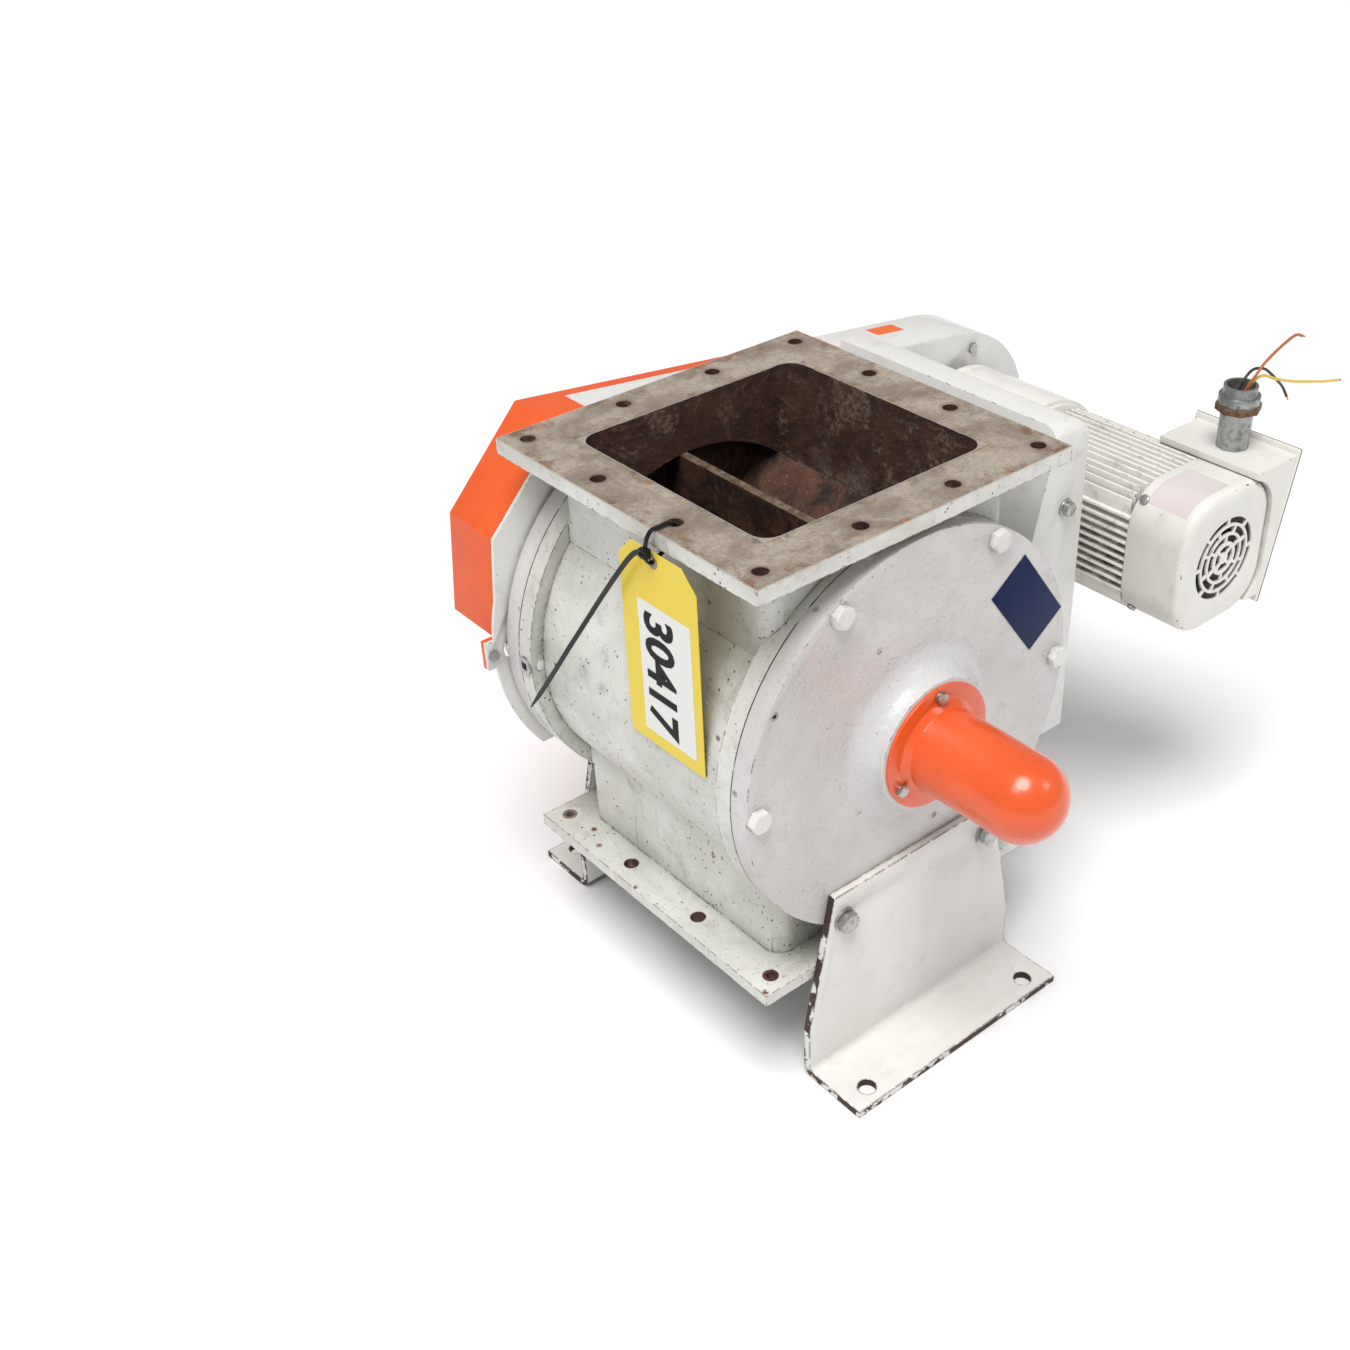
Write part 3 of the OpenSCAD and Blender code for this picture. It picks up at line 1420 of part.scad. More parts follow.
// ---------- Pieces ----------

housing();
front_end_plate();
rear_end_plate();
end_plate_bolts();
jack_screws();
purge_plug();
shaft_seals();
bearing_outer_rings();
bearing_inner_rings();
bearing_snap_rings();
rotor();
rotor_shaft();
shaft_guard();
shaft_guard_screws();
front_foot_bracket();
rear_foot_bracket();
foot_bracket_bolts();
foot_bracket_washers();
nameplate();
guard_back_plate();
guard_spacers();
guard_plate_bolts();
chain_guard_cover();
chain_guard_hood();
guard_screws();
driven_sprocket();
driven_key();
drive_sprocket();
drive_key();
roller_chain();
drive_mount();
drive_mount_bolts();
mount_clamp_bolt();
reducer_housing();
reducer_cover();
reducer_bolts();
reducer_foot_bolts();
output_bearing();
output_shaft();
output_gear();
layshaft();
motor_shaft();
motor_rotor_core();
motor_stator();
motor_frame();
motor_end_bells();
motor_bearings();
cooling_fan();
fan_cover();
fan_cover_screws();
terminal_box();
terminal_box_cover();
terminal_cover_screws();
conduit_connector();
conduit_locknut();
lead_yellow();
lead_orange();
lead_black();
hang_tag();
cable_tie();
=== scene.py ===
"""Dressed model of a rotary airlock valve with a chain drive and a side-mounted gearmotor.

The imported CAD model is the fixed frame. Every length here is in metres, in the frame of that model:
the origin is the centre of the outlet flange's underside, +X is the motor side, +Y the chain side.
"""
import itertools
import logging
import math
from contextlib import contextmanager
from dataclasses import dataclass, field
from enum import Enum
from typing import Callable, Iterator, Sequence, Union

import bmesh
import bpy
from mathutils import Euler, Matrix, Vector


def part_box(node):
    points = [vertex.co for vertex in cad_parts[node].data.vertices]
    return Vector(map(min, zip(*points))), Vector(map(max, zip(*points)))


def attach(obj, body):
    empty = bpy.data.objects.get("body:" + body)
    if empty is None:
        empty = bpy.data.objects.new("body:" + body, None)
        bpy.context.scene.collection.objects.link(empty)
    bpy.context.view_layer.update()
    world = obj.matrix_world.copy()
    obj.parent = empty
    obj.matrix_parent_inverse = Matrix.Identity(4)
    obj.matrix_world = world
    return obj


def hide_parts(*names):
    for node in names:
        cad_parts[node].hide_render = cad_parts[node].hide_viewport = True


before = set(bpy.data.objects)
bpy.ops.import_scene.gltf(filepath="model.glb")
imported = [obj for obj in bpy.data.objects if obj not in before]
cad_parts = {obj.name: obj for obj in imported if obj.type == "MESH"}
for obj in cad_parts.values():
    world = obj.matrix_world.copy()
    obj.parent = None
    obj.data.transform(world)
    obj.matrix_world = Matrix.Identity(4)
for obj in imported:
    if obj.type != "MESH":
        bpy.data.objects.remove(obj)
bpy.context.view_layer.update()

LOG = logging.getLogger("airlock")
Colour = tuple[float, float, float]
Point = tuple[float, float, float]
Piece = bpy.types.Object
Socket = bpy.types.NodeSocket
Material = bpy.types.Material


# ---------- Shader graph ----------

def node_method(operation: str, swapped: bool = False) -> Callable[..., "Value"]:
    """A method of Value that adds one Math node.

    Args:
        operation: the Math node's operation.
        swapped: puts the other operand on the left.

    Returns:
        The method.
    """
    def method(self: "Value", *others: "Number") -> "Value":
        """Adds the node and gives its result."""
        return self.graph.math(operation, *((*others, self) if swapped else (self, *others)))

    return method


class Value:
    """A number in a shader graph. Arithmetic on it adds Math nodes."""

    __add__, __radd__ = node_method("ADD"), node_method("ADD", True)
    __sub__, __rsub__ = node_method("SUBTRACT"), node_method("SUBTRACT", True)
    __mul__, __rmul__ = node_method("MULTIPLY"), node_method("MULTIPLY", True)
    __truediv__ = node_method("DIVIDE")
    __pow__ = node_method("POWER")
    __gt__, __lt__ = node_method("GREATER_THAN"), node_method("LESS_THAN")
    __abs__ = node_method("ABSOLUTE")
    part = node_method("FRACT")      # what is left above the whole number below it
    either = node_method("MAXIMUM")  # the larger of two values
    both = node_method("MINIMUM")    # the smaller of two values

    def __init__(self, graph: "ShaderGraph", socket: Socket) -> None:
        """Wraps an output socket of one graph."""
        self.graph = graph
        self.socket = socket

    def ramp(self, low: float, high: float) -> "Value":
        """A smooth step from 0 at low to 1 at high, or the other way round when low is the larger.

        Args:
            low: the value that gives 0.
            high: the value that gives 1.

        Returns:
            The step.
        """
        if low > high:
            return 1 - self.ramp(high, low)
        node = self.graph.node("ShaderNodeMapRange", {"interpolation_type": "SMOOTHSTEP"},
                               {"Value": self, "From Min": low, "From Max": high})
        return Value(self.graph, node.outputs["Result"])


def distance(across: Value, along: Value) -> Value:
    """Length of a flat vector, from its two parts."""
    return (across * across + along * along) ** 0.5


Number = Union[Value, float, int]
Input = Union[Value, Socket, float, int, Sequence[float]]


class ShaderGraph:
    """One node material under construction, with a Principled shader at its end."""

    def __init__(self, name: str) -> None:
        """Makes the material and keeps its Principled shader.

        Args:
            name: the material's name.
        """
        self.material = bpy.data.materials.new(name)
        self.material.use_nodes = True
        self.tree = self.material.node_tree
        self.shader = self.tree.nodes["Principled BSDF"]
        self._coordinates: Socket | None = None

    def node(self, kind: str, settings: dict | None = None, inputs: dict | None = None) -> bpy.types.Node:
        """Adds one node.

        Args:
            kind: the node's type.
            settings: its properties, set first.
            inputs: values or links for its sockets, by name or index.

        Returns:
            The new node.
        """
        made = self.tree.nodes.new(kind)
        for name, value in (settings or {}).items():
            setattr(made, name, value)
        for name, value in (inputs or {}).items():
            self.feed(made.inputs[name], value)
        return made

    def feed(self, socket: Socket, value: Input) -> None:
        """Links a socket or sets its own value.

        Args:
            socket: the socket that is fed.
            value: a link, a number or a vector.
        """
        if isinstance(value, Value):
            value = value.socket
        if isinstance(value, Socket):
            self.tree.links.new(value, socket)
        elif isinstance(value, (int, float)):
            socket.default_value = value
        else:
            wanted = len(socket.default_value)
            filled = tuple(value) + (1.0,) * (wanted - len(value))
            socket.default_value = filled

    def math(self, operation: str, *operands: Number) -> Value:
        """Adds one Math node on numbers."""
        inputs = dict(enumerate(operands))
        return Value(self, self.node("ShaderNodeMath", {"operation": operation}, inputs).outputs[0])

    def mix(self, amount: Number, first: Input, second: Input) -> Socket:
        """A colour that goes from first to second with amount.

        Args:
            amount: how far it goes towards second.
            first: the colour at 0.
            second: the colour at 1.

        Returns:
            The mixed colour.
        """
        made = self.node("ShaderNodeMix", {"data_type": "RGBA"}, {"Factor": amount})
        self.feed(made.inputs[6], first)
        self.feed(made.inputs[7], second)
        return made.outputs[2]

    def layered(self, base: Input, *layers: tuple[Number, Input]) -> Socket:
        """A colour with others laid over it.

        Args:
            base: the lowest colour.
            layers: from the lowest up, how far each covers what is below it, and its colour.

        Returns:
            The resulting colour.
        """
        for amount, colour in layers:
            base = self.mix(amount, base, colour)
        return base

    def coordinates(self) -> Socket:
        """The piece's own coordinates, in metres.

        Returns:
            The coordinates.
        """
        if self._coordinates is None:
            self._coordinates = self.node("ShaderNodeTexCoord").outputs["Object"]
        return self._coordinates

    def split(self, vector: Socket) -> tuple[Value, Value, Value]:
        """X, Y and Z of a vector."""
        parts = self.node("ShaderNodeSeparateXYZ", inputs={"Vector": vector})
        return tuple(Value(self, parts.outputs[i]) for i in range(3))

    def axes(self) -> tuple[Value, Value, Value]:
        """X, Y and Z of the piece's own coordinates."""
        return self.split(self.coordinates())

    def facing(self) -> tuple[Value, Value, Value]:
        """X, Y and Z of the surface's direction."""
        return self.split(self.node("ShaderNodeNewGeometry").outputs["Normal"])

    def stretched(self, scale: Point, turn: Point = (0, 0, 0), shift: Point = (0, 0, 0)) -> Socket:
        """The piece's coordinates after a Mapping node."""
        return self.node("ShaderNodeMapping", inputs={"Vector": self.coordinates(), "Scale": scale,
                                                      "Rotation": turn, "Location": shift}).outputs[0]

    def noise(self, grain: float, detail: float = 3.0, roughness: float = 0.55, distortion: float = 0.0,
              vector: Socket | None = None) -> Value:
        """Noise whose blobs are about grain metres across, with a mean of one half.

        Args:
            grain: size of a blob, in metres.
            detail: how many finer octaves it has.
            roughness: weight of the finer octaves.
            distortion: how far it is twisted.
            vector: coordinates, the piece's own if none.

        Returns:
            The noise.
        """
        made = self.node("ShaderNodeTexNoise", None, {
            "Vector": vector or self.coordinates(), "Scale": 1 / grain, "Detail": detail,
            "Roughness": roughness, "Distortion": distortion})
        return Value(self, made.outputs["Fac"])

    def cells(self, grain: float) -> Value:
        """Distance to the nearest point of a scatter about grain metres apart, from 0 to about 1."""
        made = self.node("ShaderNodeTexVoronoi", None, {"Vector": self.coordinates(), "Scale": 1 / grain})
        return Value(self, made.outputs["Distance"])

    def edges(self, reach: float) -> Value:
        """About 1 on outer and inner edges within reach, 0 on flat stretches.

        Args:
            reach: width of the edge, in metres.

        Returns:
            How far a place belongs to an edge.
        """
        rounded = self.node("ShaderNodeBevel", {"samples": 4}, {"Radius": reach}).outputs[0]
        plain = self.node("ShaderNodeNewGeometry").outputs["Normal"]
        dot = self.node("ShaderNodeVectorMath", {"operation": "DOT_PRODUCT"}, {0: rounded, 1: plain})
        return Value(self, dot.outputs["Value"]).ramp(0.9992, 0.975)

    def crevices(self, reach: float) -> Value:
        """About 1 in inner corners and gaps within reach, 0 in the open."""
        made = self.node("ShaderNodeAmbientOcclusion", {"samples": 4}, {"Distance": reach})
        return Value(self, made.outputs["AO"]).ramp(0.75, 0.25)

    def bump(self, height: Number, depth: float, strength: float = 1.0) -> None:
        """Feeds a height of one unit standing for depth metres into the shader's normal."""
        made = self.node("ShaderNodeBump", None, {"Height": height, "Distance": depth, "Strength": strength})
        self.feed(self.shader.inputs["Normal"], made.outputs["Normal"])

    def finish(self, colour: Input, roughness: Input, metallic: Input = 0.0, coat: Input = 0.0,
               gloss: float = 0.5) -> Material:
        """Sets the shader's main sockets and returns the material.

        Args:
            colour: base colour.
            roughness: roughness.
            metallic: metallic share.
            coat: weight of the clear coat.
            gloss: specular level.

        Returns:
            The material.
        """
        for name, value in (("Base Color", colour), ("Roughness", roughness), ("Metallic", metallic),
                            ("Coat Weight", coat), ("Coat Roughness", 0.1), ("Specular IOR Level", gloss)):
            self.feed(self.shader.inputs[name], value)
        return self.material


# ---------- Finishes ----------

RUST_DARK: Colour = (0.050, 0.018, 0.011)
RUST_MID: Colour = (0.160, 0.060, 0.028)
RUST_BRIGHT: Colour = (0.400, 0.150, 0.045)
# Grime, which also colours the painted shade in corners and gaps.
GRIME_AND_SHADE: Colour = (0.100, 0.080, 0.062)
PRIMER: Colour = (0.035, 0.025, 0.022)


@dataclass(frozen=True)
class Paint:
    """A coat of paint over metal, with its grain, dirt, chips and painted shade in its corners and gaps."""

    name: str
    colour: Colour
    shade: Colour
    roughness: float = 0.38
    coat: float = 0.25
    grain: float = 0.004
    relief: float = 0.00008
    dirt_and_shade: float = 0.4
    chips: float = 0.3
    edge_reach: float = 0.0015
    chip_colour: Colour = PRIMER
    casting: float = 0.0
    gloss: float = 0.5
    # Colour and heights of the dirt and painted shade in corners and gaps.
    grime_and_shade_colour: Colour = GRIME_AND_SHADE
    dirt_and_shade_heights: tuple[float, float] | None = None

    def layers(self, graph: ShaderGraph) -> tuple[Socket, Value, Value, Value]:
        """Builds the paint's layers.

        Args:
            graph: the material's graph.

        Returns:
            Colour, roughness, height of the surface, and where bare metal shows.
        """
        cloud = graph.noise(0.09, 4).ramp(0.35, 0.65)
        colour = graph.mix(cloud, self.colour, self.shade)
        smudge = graph.noise(0.025, 6, 0.7).ramp(0.52, 0.80) * (0.55 * self.dirt_and_shade)
        colour = graph.mix(smudge, colour, GRIME_AND_SHADE)
        # Dirt and painted shade: darker in corners and gaps, in blotches, and stronger towards the bottom
        # below the heights given.
        crevice_dirt_and_shade = graph.crevices(0.010) * graph.noise(0.012, 5).ramp(0.30, 0.62)
        if self.dirt_and_shade_heights:
            crevice_dirt_and_shade = crevice_dirt_and_shade * (graph.axes()[2].ramp(*self.dirt_and_shade_heights) * 0.85 + 0.15)
        colour = graph.mix(crevice_dirt_and_shade * (0.85 * self.dirt_and_shade), colour, self.grime_and_shade_colour)
        specks = graph.cells(0.011).ramp(0.085, 0.060) * graph.noise(0.05, 3).ramp(0.50, 0.60)
        colour = graph.mix(specks * min(1.0, 1.7 * self.dirt_and_shade), colour, PRIMER)
        lost = 0.66 - 0.20 * self.chips
        worn = graph.edges(self.edge_reach) * graph.noise(0.009, 5, 0.65).ramp(lost, lost + 0.05)
        flakes = graph.noise(0.006, 4, 0.6).ramp(0.735, 0.75) * graph.noise(0.05, 2).ramp(0.50, 0.62)
        bare = worn.either(flakes * self.chips).both(1.0)
        bare_colour = graph.mix(graph.noise(0.003, 3).ramp(0.45, 0.65), self.chip_colour, RUST_MID)
        colour = graph.mix(bare, colour, bare_colour)
        if self.casting:
            spots = graph.cells(0.036).ramp(0.120, 0.050) * graph.noise(0.07, 3).ramp(0.48, 0.56)
            spots = spots * graph.noise(0.004, 4, 0.7).ramp(0.40, 0.52)
            colour = graph.mix(spots * self.casting, colour, RUST_MID)
            pocks = graph.cells(0.0065).ramp(0.24, 0.14) * graph.noise(0.030, 4, 0.6).ramp(0.53, 0.59)
            colour = graph.mix(pocks * (1.8 * self.casting - 0.9), colour, PRIMER)
            runs = graph.noise(0.007, 4, 0.6, 0.0, graph.stretched((1, 1, 0.10)))
            colour = graph.mix(runs.ramp(0.60, 0.78) * (0.30 * self.casting), colour, GRIME_AND_SHADE)
            # Painted shade: a broad greenish grey wherever the casting is closed in, as under the flanges.
            colour = graph.mix(graph.crevices(0.070) * (0.42 * self.casting), colour, (0.150, 0.160, 0.125))
            bare = bare.either(spots)
        skin = graph.noise(self.grain, 3, 0.5)
        height = skin
        if self.casting:
            lumps = graph.noise(0.018, 4, 0.6)
            pits = graph.cells(0.0055).ramp(0.16, 0.04) * graph.noise(0.02, 2).ramp(0.42, 0.60)
            height = skin * 0.6 + lumps * (2.2 * self.casting) - pits * (1.3 * self.casting)
        height = height - bare * 0.8
        roughness = (skin * 0.16 + (self.roughness - 0.08)) + bare * 0.3 + smudge * 0.3
        return colour, roughness, height, bare

    def build(self) -> Material:
        """Makes the material.

        Returns:
            The material.
        """
        graph = ShaderGraph(self.name)
        colour, roughness, height, bare = self.layers(graph)
        graph.bump(height, self.relief)
        return graph.finish(colour, roughness, 0.0, (1 - bare) * self.coat, self.gloss)


@dataclass(frozen=True)
class HousingFinish:
    """Painted casting outside, rust inside, and a bare machined inlet face."""

    name: str
    paint: Paint
    face_z: float
    throat_half: float
    bore_r: float
    shaft_z: float
    end_y: float
    ring_r: float
    hole_pitch: float
    hole_r: float

    def hole_reach(self, x: Value, y: Value) -> Value:
        """Distance from the axis of the nearest flange hole.

        Args:
            x: place across the flange.
            y: place along the flange.

        Returns:
            The distance.
        """
        along = abs((x / self.hole_pitch).part() - 0.5) * self.hole_pitch
        across = abs((y / self.hole_pitch).part() - 0.5) * self.hole_pitch
        return distance(along, across)

    def build(self) -> Material:
        """Makes the material.

        Returns:
            The material.
        """
        graph = ShaderGraph(self.name)
        x, y, z = graph.axes()
        colour, roughness, height, bare = self.paint.layers(graph)
        reach = abs(x).either(abs(y))

        # Bare machined face of the inlet, with stains, rust at its rim and a pale line round its edges, which
        # is wear and painted highlight
        wander = (graph.noise(0.012, 4, 0.7) - 0.5) * 0.0030
        top = (z + wander).ramp(self.face_z - 0.0010, self.face_z - 0.0004)
        scratches = graph.noise(0.008, 5, 0.7, vector=graph.stretched((1, 7, 1), (0, 0, 0.5)))
        patches = graph.noise(0.045, 6, 0.65, 0.4)
        fine = graph.noise(0.0035, 5, 0.75)
        rim = (reach + wander * 4).ramp(0.150, 0.177).either((reach + wander * 4).ramp(0.140, 0.127))
        stain = graph.noise(0.024, 6, 0.72, 0.4).ramp(0.48, 0.64) * (rim * 0.80 + 0.20)
        orange = graph.noise(0.012, 5, 0.7, 0.3).ramp(0.55, 0.67) * rim
        hole = self.hole_reach(x, y)
        # A pale line along the face's edges: wear and painted highlight.
        worn_edge_and_highlight = reach.ramp(0.1277, 0.1268).either(reach.ramp(0.1768, 0.1776))
        metal = graph.layered(
            (0.285, 0.228, 0.178),
            (patches.ramp(0.38, 0.64), (0.480, 0.415, 0.340)),
            (fine.ramp(0.42, 0.66) * 0.45, (0.200, 0.145, 0.108)),
            (scratches.ramp(0.52, 0.74) * 0.50, (0.620, 0.560, 0.470)),
            (stain * 0.80, (0.170, 0.082, 0.046)),
            (orange * 0.75, RUST_BRIGHT),
            (hole.ramp(self.hole_r + 0.0055, self.hole_r + 0.0015) * 0.35, (0.17, 0.10, 0.065)),
            (worn_edge_and_highlight * fine.ramp(0.30, 0.50) * 0.8, (0.66, 0.60, 0.52)))
        top_roughness = patches * 0.3 + 0.40

        # Rusted inner walls, with pale deposits low in the throat
        depth = z - self.shaft_z
        radial = distance(x, depth)
        bore = (radial < self.bore_r) * (abs(y) < self.end_y)
        throat = reach < self.throat_half
        shank = (hole < self.hole_r + 0.0006) * (reach > 0.14) * (abs(depth) > 0.19)
        inside = throat.either(bore).either(shank)
        crust = graph.noise(0.006, 6, 0.75)
        blotch = graph.noise(0.030, 7, 0.72, 0.5)
        deposit = graph.noise(0.050, 7, 0.78, 0.9).ramp(0.51, 0.60) * crust.ramp(0.40, 0.58)
        low = depth.ramp(0.150, 0.125) * graph.noise(0.035, 5).ramp(0.45, 0.60)
        rust = graph.layered(
            RUST_DARK,
            (blotch.ramp(0.36, 0.62), (0.120, 0.042, 0.026)),
            (crust.ramp(0.56, 0.74) * 0.6, (0.210, 0.110, 0.068)),
            (deposit * 0.75, (0.330, 0.240, 0.165)),
            (low * (y.ramp(0.09, 0.12) * 0.7 + 0.3) * 0.7, (0.470, 0.370, 0.300)))
        seam = abs(y).ramp(self.end_y - 0.0002, self.end_y + 0.0003) * graph.noise(0.03, 5).ramp(0.36, 0.46)
        seam = seam * (radial < self.ring_r + 0.001)
        colour = graph.mix(seam * 0.9, colour, PRIMER)

        colour = graph.mix(inside, colour, rust)
        colour = graph.mix(top, colour, metal)
        unpainted = inside.either(top)
        roughness = roughness * (1 - unpainted) + (inside * 0.82) * (1 - top) + top * top_roughness
        machined = top * (patches + fine + scratches * 0.5)
        height = height * (1 - unpainted) + inside * (crust + blotch) * 5 + machined
        graph.bump(height, self.paint.relief)
        coat = (1 - bare.either(unpainted)) * self.paint.coat
        return graph.finish(colour, roughness, top * 0.15, coat)


@dataclass(frozen=True)
class BracketFinish:
    """Painted bent plate whose foot hole walls are painted dark, as bare metal and painted shade, and whose
    cut sides show dark bare patches.
    """

    name: str
    paint: Paint
    hole_x: float
    hole_y: float
    hole_r: float
    foot_z: float

    def build(self) -> Material:
        """Makes the material.

        Returns:
            The material.
        """
        graph = ShaderGraph(self.name)
        x, y, z = graph.axes()
        colour, roughness, height, bare = self.paint.layers(graph)
        # The foot hole walls are painted dark: bare metal and painted shade in the holes.
        along, across = abs(x) - self.hole_x, abs(y) - self.hole_y
        ragged = (graph.noise(0.004, 3) - 0.5) * 0.0022
        bare_and_shaded_walls = (distance(along, across) + ragged) < self.hole_r + 0.0007
        bare_and_shaded_walls = bare_and_shaded_walls * (z < self.foot_z)
        side_x, side_y, _ = graph.facing()
        side = (abs(side_x) > 0.5).either((abs(side_y) > 0.5) * (z < self.foot_z - 0.0006))
        bare_and_shaded_walls = bare_and_shaded_walls.either(side * graph.noise(0.032, 6, 0.62).ramp(0.455, 0.475))
        colour = graph.mix(bare_and_shaded_walls, colour, graph.mix(graph.noise(0.003, 3).ramp(0.4, 0.6), PRIMER, RUST_DARK))
        graph.bump(height, self.paint.relief)
        return graph.finish(colour, roughness + bare_and_shaded_walls * 0.3, 0.0, (1 - bare.either(bare_and_shaded_walls)) * self.paint.coat)


@dataclass(frozen=True)
class PlateFinish:
    """Painted end plate whose hub is glossy and whose inner face is bare and rusty."""

    name: str
    paint: Paint
    seat_y: float
    hub_y: float
    hub_r: float
    shaft_z: float

    def build(self) -> Material:
        """Makes the material.

        Returns:
            The material.
        """
        graph = ShaderGraph(self.name)
        x, y, z = graph.axes()
        colour, roughness, height, bare = self.paint.layers(graph)
        depth = z - self.shaft_z
        radial = distance(x, depth)
        out = abs(y)
        hub = (radial < self.hub_r) * out.ramp(self.hub_y, self.hub_y + 0.002)
        colour = graph.mix(hub * (1 - bare) * 0.85, colour, (0.620, 0.614, 0.606))
        crust = graph.noise(0.010, 6, 0.7)
        inside = out < self.seat_y - 0.0004
        rust = graph.mix(crust.ramp(0.4, 0.65), (0.018, 0.010, 0.008), (0.085, 0.036, 0.022))
        seam = out.ramp(self.seat_y + 0.0012, self.seat_y + 0.0004) * graph.noise(0.03, 5).ramp(0.36, 0.46)
        colour = graph.mix(inside, graph.mix(seam * 0.9, colour, PRIMER), rust)
        arcs = graph.noise(0.0032, 3, 0.6, 0.0, graph.stretched((0.22, 1, 1), (0, 0.5, 0)))
        graph.bump(height + arcs.ramp(0.66, 0.78) * (1 - hub) * 0.5, self.paint.relief)
        roughness = roughness * (1 - hub * 0.15) + inside * 0.4
        return graph.finish(colour, roughness, 0.0, (1 - bare.either(inside)) * (hub * 0.1 + self.paint.coat))


@dataclass(frozen=True)
class Metal:
    """Bare or plated metal with stains, painted shade in its tight corners, fine scratches and uneven gloss.
    """

    name: str
    colour: Colour
    stain: Colour
    roughness: float = 0.35
    stains_and_shade: float = 0.35
    grain: float = 0.006
    relief: float = 0.00004
    metallic: float = 1.0

    def build(self) -> Material:
        """Makes the material.

        Returns:
            The material.
        """
        graph = ShaderGraph(self.name)
        cloud = graph.noise(self.grain, 5, 0.65)
        marks = cloud.ramp(0.62 - 0.3 * self.stains_and_shade, 0.78 - 0.2 * self.stains_and_shade)
        # Stains, and painted shade in tight corners, both in the stain colour.
        crevice_dirt_and_shade = graph.crevices(0.004) * 0.7
        stains_and_crevice_shade = (marks * self.stains_and_shade).either(crevice_dirt_and_shade * self.stains_and_shade)
        colour = graph.mix(graph.noise(self.grain * 0.3, 3).ramp(0.3, 0.7) * 0.35, self.colour,
                           tuple(0.72 * c for c in self.colour))
        colour = graph.mix(stains_and_crevice_shade, colour, self.stain)
        graph.bump(graph.noise(self.grain * 0.15, 2) + cloud, self.relief)
        return graph.finish(colour, stains_and_crevice_shade * 0.4 + cloud * 0.2 + (self.roughness - 0.1), self.metallic)


@dataclass(frozen=True)
class RustyRotor:
    """Rusted rotor casting whose vane tips and ends are ground bright."""

    name: str
    shaft_z: float
    tip_r: float

    def build(self) -> Material:
        """Makes the material.

        Returns:
            The material.
        """
        graph = ShaderGraph(self.name)
        x, _, z = graph.axes()
        depth = z - self.shaft_z
        radial = distance(x, depth)
        crust = graph.noise(0.008, 7, 0.75)
        broad = graph.noise(0.035, 5, 0.7, 0.7)
        colour = graph.mix(broad.ramp(0.36, 0.62), (0.020, 0.010, 0.008), (0.120, 0.050, 0.030))
        colour = graph.mix(crust.ramp(0.56, 0.72) * 0.8, colour, (0.250, 0.160, 0.105))
        colour = graph.mix(graph.cells(0.006).ramp(0.22, 0.06) * broad.ramp(0.45, 0.6), colour, RUST_BRIGHT)
        ground = (radial + (crust - 0.5) * 0.0012).ramp(self.tip_r - 0.0006, self.tip_r - 0.0001)
        bright = graph.mix(crust.ramp(0.4, 0.6), (0.11, 0.07, 0.048), (0.27, 0.19, 0.13))
        colour = graph.mix(ground, colour, bright)
        graph.bump((crust * 1.2 + broad) * (1 - ground * 0.8), 0.0011)
        return graph.finish(colour, crust * 0.2 + 0.62 - ground * 0.25, ground * 0.4)


@dataclass(frozen=True)
class Plastic:
    """Moulded or extruded plastic with scuffs."""

    name: str
    colour: Colour
    roughness: float = 0.45
    scuff: Colour = (0.3, 0.3, 0.3)
    scuffed: float = 0.15
    relief: float = 0.00003
    gloss: float = 0.5

    def build(self) -> Material:
        """Makes the material.

        Returns:
            The material.
        """
        graph = ShaderGraph(self.name)
        cloud = graph.noise(0.006, 5, 0.7)
        scuffs = cloud.ramp(0.58, 0.72) * self.scuffed
        colour = graph.mix(scuffs, self.colour, self.scuff)
        graph.bump(graph.noise(0.0012, 2) + cloud, self.relief)
        return graph.finish(colour, cloud * 0.2 + (self.roughness - 0.1), gloss=self.gloss)


WHITE = Paint("casting_white", (0.720, 0.715, 0.675), (0.590, 0.585, 0.535), 0.42, 0.18, 0.0035, 0.00110,
              dirt_and_shade=0.85, chips=0.95, casting=1.0)
PLATE_WHITE = Paint("plate_white", (0.640, 0.624, 0.612), (0.570, 0.554, 0.540), 0.38, 0.20, 0.004, 0.00120,
                    dirt_and_shade=0.45, chips=0.50, casting=0.50)
SHEET_WHITE = Paint("sheet_white", (0.750, 0.740, 0.712), (0.705, 0.694, 0.664), 0.32, 0.28, 0.003, 0.00005,
                    dirt_and_shade=0.38, chips=0.45)
BRACKET_WHITE = Paint("bracket_white", (0.740, 0.730, 0.700), (0.700, 0.688, 0.655), 0.36, 0.22, 0.004,
                      0.00010, dirt_and_shade=0.32, chips=1.15, edge_reach=0.0028)
BOLT_WHITE = Paint("bolt_white", (0.760, 0.750, 0.720), (0.700, 0.690, 0.660), 0.36, 0.3, 0.002, 0.00006,
                   dirt_and_shade=0.5, chips=0.45, edge_reach=0.0006, chip_colour=(0.10, 0.09, 0.085))
MOTOR_WHITE = Paint("motor_white", (0.800, 0.782, 0.738), (0.750, 0.732, 0.686), 0.33, 0.24, 0.002, 0.00006,
                    dirt_and_shade=0.36, chips=0.30)
